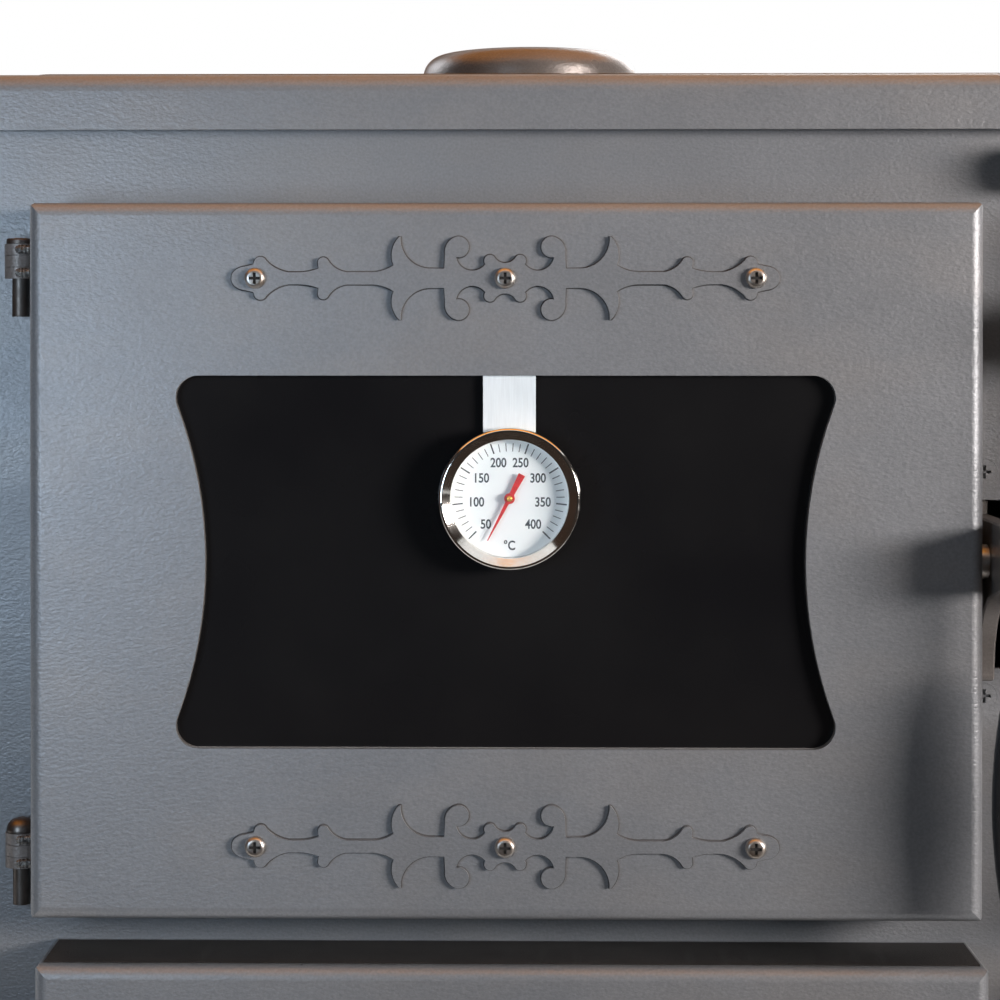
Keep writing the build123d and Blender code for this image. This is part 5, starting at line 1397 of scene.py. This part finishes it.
@dataclass
class Thermometer:
    """The dial thermometer that hangs from the upper scroll plate."""

    ink: float = 0.06 * MM
    major_half: float = 0.32
    minor_half: float = 0.18
    unit_radius: float = 21.6
    tick_inner: float = 21.3
    major_outer: float = 26.1
    minor_outer: float = 25.0
    numeral_radius: float = 16.9
    numeral_squeeze: float = 0.9
    numeral_size: float = 5.9
    numeral_narrow: float = 0.83
    numeral_bold: float = 0.12
    sweep: float = 270.0
    first: int = 50
    last: int = 400
    major: int = 50
    minor: int = 10

    def angle(self, degrees_c: float) -> float:
        """Where a temperature stands on the dial, in radians clockwise from the top."""
        share = (degrees_c - self.first) / (self.last - self.first)
        return math.radians((share - 0.5) * self.sweep)

    def build(self) -> None:
        """Dresses the thermometer, prints its dial and caps its needle."""
        dress(STRAP_STEEL_AND_SHINE, "thermometer_strap")
        dress(BEZEL_STEEL, "thermometer_case")
        dress(DIAL, "thermometer_dial")
        dress(GLASS, "thermometer_lens")
        dress(RED, "thermometer_needle")
        low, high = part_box("thermometer_dial")
        centre = Vector(((low.x + high.x) / 2, low.y, (low.z + high.z) / 2))
        self.print_ticks(centre)
        self.print_numerals(centre)
        self.cap(centre)

    def print_ticks(self, centre: Vector) -> None:
        """Prints the scale.

        Args:
            centre: the middle of the dial's face.
        """
        parts = MeshParts()
        for value in range(self.first, self.last + 1, self.minor):
            is_major = value % self.major == 0
            outer = self.major_outer if is_major else self.minor_outer
            half = self.major_half if is_major else self.minor_half
            turn = Matrix.Rotation(self.angle(value), 4, "Y")
            corners = []
            for y in (0.01 * MM, -self.ink):
                for x, z in ((-half, self.tick_inner), (half, self.tick_inner), (half, outer), (-half, outer)):
                    corners.append(centre + turn @ Vector((x * MM, y, z * MM)))
            sides = [(0, 1, 5, 4), (1, 2, 6, 5), (2, 3, 7, 6), (3, 0, 4, 7)]
            parts.add(corners, [(3, 2, 1, 0), (4, 5, 6, 7), *sides])
        parts.make(Piece("dial_scale_print", INK, "oven_door"))

    def print_numerals(self, centre: Vector) -> None:
        """Prints the temperatures and the unit.

        Args:
            centre: the middle of the dial's face.
        """
        values = range(self.first, self.last + 1, self.major)
        words = [(str(value), self.angle(value), self.numeral_radius) for value in values]
        words.append(("°C", math.pi, self.unit_radius))
        shape = bmesh.new()
        for text, angle, radius in words:
            curve = bpy.data.curves.new("numeral", "FONT")
            curve.body = text
            curve.size = self.numeral_size * MM
            curve.extrude = self.ink / 2
            curve.offset = self.numeral_bold * MM
            curve.align_x, curve.align_y = "CENTER", "CENTER"
            word = bpy.data.objects.new("numeral", curve)
            flat = bpy.data.meshes.new_from_object(word)
            at = centre + radius * MM * Vector((self.numeral_squeeze * math.sin(angle), 0, math.cos(angle)))
            narrow = Matrix.Scale(self.numeral_narrow, 4, (1, 0, 0))
            flat.transform(Matrix.Translation(at) @ Matrix.Rotation(math.pi / 2, 4, "X") @ narrow)
            shape.from_mesh(flat)
            bpy.data.objects.remove(word)
            bpy.data.curves.remove(curve)
            bpy.data.meshes.remove(flat)
        bmesh.ops.remove_doubles(shape, verts=shape.verts, dist=0.002 * MM)
        mesh = bpy.data.meshes.new("dial_numerals_print")
        shape.to_mesh(mesh)
        shape.free()
        Piece("dial_numerals_print", INK, "oven_door").settle(mesh)

    def cap(self, centre: Vector) -> None:
        """Puts a small turned brass cap on the needle's boss.

        Args:
            centre: the middle of the dial's face.
        """
        low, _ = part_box("thermometer_needle")
        foot = Matrix.Translation((centre.x, low.y + 0.05 * MM, centre.z))
        place = foot @ Matrix.Rotation(math.pi / 2, 4, "X")
        profile = [(1.4, 0.0), (1.4, 0.35), (1.2, 0.7), (0.75, 0.92), (0.3, 1.0)]
        parts = MeshParts()
        parts.add_turned([(r * MM, h * MM) for r, h in profile], place, [0] * len(profile))
        parts.make(Piece("needle_brass_cap", BRASS, "needle"))


# ---- the studio ----


@dataclass
class Lamp:
    """A soft lamp with a flat square or oblong face."""

    name: str
    at: Point
    size: tuple[float, float]
    power: float
    colour: str
    spread: float = 180.0
    aim: Point = (-0.15, -0.25, 0.54)


@dataclass
class Card:
    """A flat card that the metal mirrors, and that the camera and the diffuse light don't see."""

    name: str
    at: Point
    faces: Point
    width: float
    height: float
    colour: str
    strength: float = 1.0


@dataclass
class Studio:
    """A pale floor, a white surround, soft lamps, cards for the metal to mirror, and the camera."""

    floor_half: float = 6.0
    surround_colour: str = "#ecd6c4"
    surround_strength: float = 0.045
    lamps: tuple[Lamp, ...] = (
        Lamp("key_lamp", (1.39, -1.23, 0.80), (0.8, 0.35), 5.7, "#fff6f1", 60.0, (-0.10, -0.27, 0.62)),
        Lamp("left_lamp", (-0.70, -1.06, 0.61), (0.28, 0.3), 0.66, "#cfe5fa", 76.0, (-0.40, -0.27, 0.59)),
        Lamp("back_lamp", (0.9, 2.3, 1.9), (1.4, 1.4), 36.0, "#ffffff"),
        Lamp("back_left_lamp", (-2.1, 1.5, 1.6), (1.2, 1.2), 22.0, "#f2f7ff"),
    )
    cards: tuple[Card, ...] = (
        Card("canopy", (-0.1, -0.1, 2.6), (-0.1, -0.1, 0.0), 4.6, 3.1, "#ea931c", 1.8),
        Card("dark_front", (0.0, -3.3, 1.7), (0.0, 0.0, 1.7), 7.0, 3.6, "#2b2826"),
        Card("dark_low_front", (-0.2, -1.9, 0.012), (-0.2, -1.9, 3.0), 5.0, 2.8, "#3a302a"),
        Card("dark_left", (-2.7, -0.8, 1.4), (0.0, -0.8, 1.4), 4.6, 3.0, "#3b2d24"),
        Card("dark_back", (0.0, 3.4, 1.2), (0.0, 0.0, 1.2), 8.0, 3.4, "#7a5230"),
        Card("dark_right", (3.1, -0.8, 1.4), (0.0, -0.8, 1.4), 4.6, 3.0, "#2d2622"),
    )
    camera_at: Point = (-0.17178, -1.34284, 0.64158)
    camera_down: float = 0.403
    camera_left: float = 0.850
    camera_lens: float = 84.55
    camera_shift: tuple[float, float] = (0.037, -0.1557)

    def build(self) -> None:
        """Sets the camera, lays the floor, lights the stove and hangs the cards."""
        self.set_camera()
        self.lay_floor()
        self.surround()
        for lamp in self.lamps:
            self.hang(lamp)
        for card in self.cards:
            self.show(card)
        bpy.context.scene.view_settings.view_transform = "Standard"

    def set_camera(self) -> None:
        """Stands the camera where the photograph was taken from."""
        lens = bpy.data.cameras.new("camera")
        lens.lens = self.camera_lens
        lens.shift_x, lens.shift_y = self.camera_shift
        camera = bpy.data.objects.new("camera", lens)
        camera.location = self.camera_at
        camera.rotation_euler = (math.radians(90 - self.camera_down), 0, math.radians(self.camera_left))
        bpy.context.scene.collection.objects.link(camera)
        bpy.context.scene.camera = camera

    def flat(self, name: str, half_width: float, half_height: float) -> bpy.types.Object:
        """Makes a flat sheet for the studio.

        Args:
            name: its name.
            half_width: half its width.
            half_height: half its height.

        Returns:
            The sheet, lying level at the origin.
        """
        mesh = bpy.data.meshes.new(name)
        corners = [(-half_width, -half_height, 0), (half_width, -half_height, 0)]
        corners += [(half_width, half_height, 0), (-half_width, half_height, 0)]
        mesh.from_pydata(corners, [], [(0, 1, 2, 3)])
        sheet = bpy.data.objects.new(name, mesh)
        bpy.context.scene.collection.objects.link(sheet)
        return sheet

    def lay_floor(self) -> None:
        """Lays the pale floor that the stove stands on."""
        floor = self.flat("floor", self.floor_half, self.floor_half)
        floor.data.materials.append(PaleFloor("pale_floor").material())

    def surround(self) -> None:
        """Surrounds the stove with soft warm light that looks white to the camera and to metal and glass."""
        world = bpy.data.worlds.new("surround")
        world.use_nodes = True
        bpy.context.scene.world = world
        tree = world.node_tree
        tree.nodes.clear()
        soft = {"Color": linear(self.surround_colour), "Strength": self.surround_strength}
        light = add_node(tree, "ShaderNodeBackground", soft).outputs[0]
        white = add_node(tree, "ShaderNodeBackground", {"Color": WHITE, "Strength": 1.0}).outputs[0]
        shown = add_node(tree, "ShaderNodeMixShader", {0: background_rays(tree), 1: light, 2: white}).outputs[0]
        add_node(tree, "ShaderNodeOutputWorld", {"Surface": shown})

    def hang(self, lamp: Lamp) -> None:
        """Hangs a lamp, turned to the stove.

        Args:
            lamp: the lamp.
        """
        data = bpy.data.lights.new(lamp.name, "AREA")
        data.shape = "RECTANGLE"
        data.size, data.size_y = lamp.size
        data.energy = lamp.power
        data.color = linear(lamp.colour)[:3]
        data.spread = math.radians(lamp.spread)
        made = bpy.data.objects.new(lamp.name, data)
        made.location = lamp.at
        made.visible_camera = False
        made.rotation_euler = (Vector(lamp.aim) - Vector(lamp.at)).to_track_quat("-Z", "Y").to_euler()
        bpy.context.scene.collection.objects.link(made)

    def show(self, card: Card) -> None:
        """Hangs a card, turned to the point that it faces.

        Args:
            card: the card.
        """
        sheet = self.flat(card.name, card.width / 2, card.height / 2)
        sheet.location = card.at
        sheet.rotation_euler = (Vector(card.faces) - Vector(card.at)).to_track_quat("Z", "Y").to_euler()
        sheet.visible_camera = sheet.visible_diffuse = sheet.visible_shadow = sheet.visible_transmission = False
        material = bpy.data.materials.new(card.name)
        material.use_nodes = True
        tree = material.node_tree
        tree.nodes.clear()
        light = {"Color": linear(card.colour), "Strength": card.strength}
        glow = add_node(tree, "ShaderNodeEmission", light).outputs[0]
        add_node(tree, "ShaderNodeOutputMaterial", {"Surface": glow})
        sheet.data.materials.append(material)


def main() -> None:
    """Builds the studio, then the stove's looks part by part."""
    logging.basicConfig(level=logging.INFO, format="%(name)s: %(message)s")
    oven_hinge = Hinge(-397.5 * MM, (386.7 * MM, 664.8 * MM))
    fire_hinge = Hinge(396.5 * MM, (503.7 * MM, 664.8 * MM), seed=31)
    parts = (
        Studio(),
        Casing(),
        Hob(),
        Flue(),
        Oven(),
        Firebox(),
        Drawers(),
        Door("oven", oven_hinge, Side.RIGHT_OF_HINGE, "oven_latch", (113.6 * MM, 129.2 * MM)),
        Door("fire", fire_hinge, Side.LEFT_OF_HINGE, "fire_latch", (87.6 * MM, 78.0 * MM)),
        Thermometer(),
    )
    for part in parts:
        part.build()
        LOG.info("%s is done", type(part).__name__)


if __name__ == "__main__":
    main()
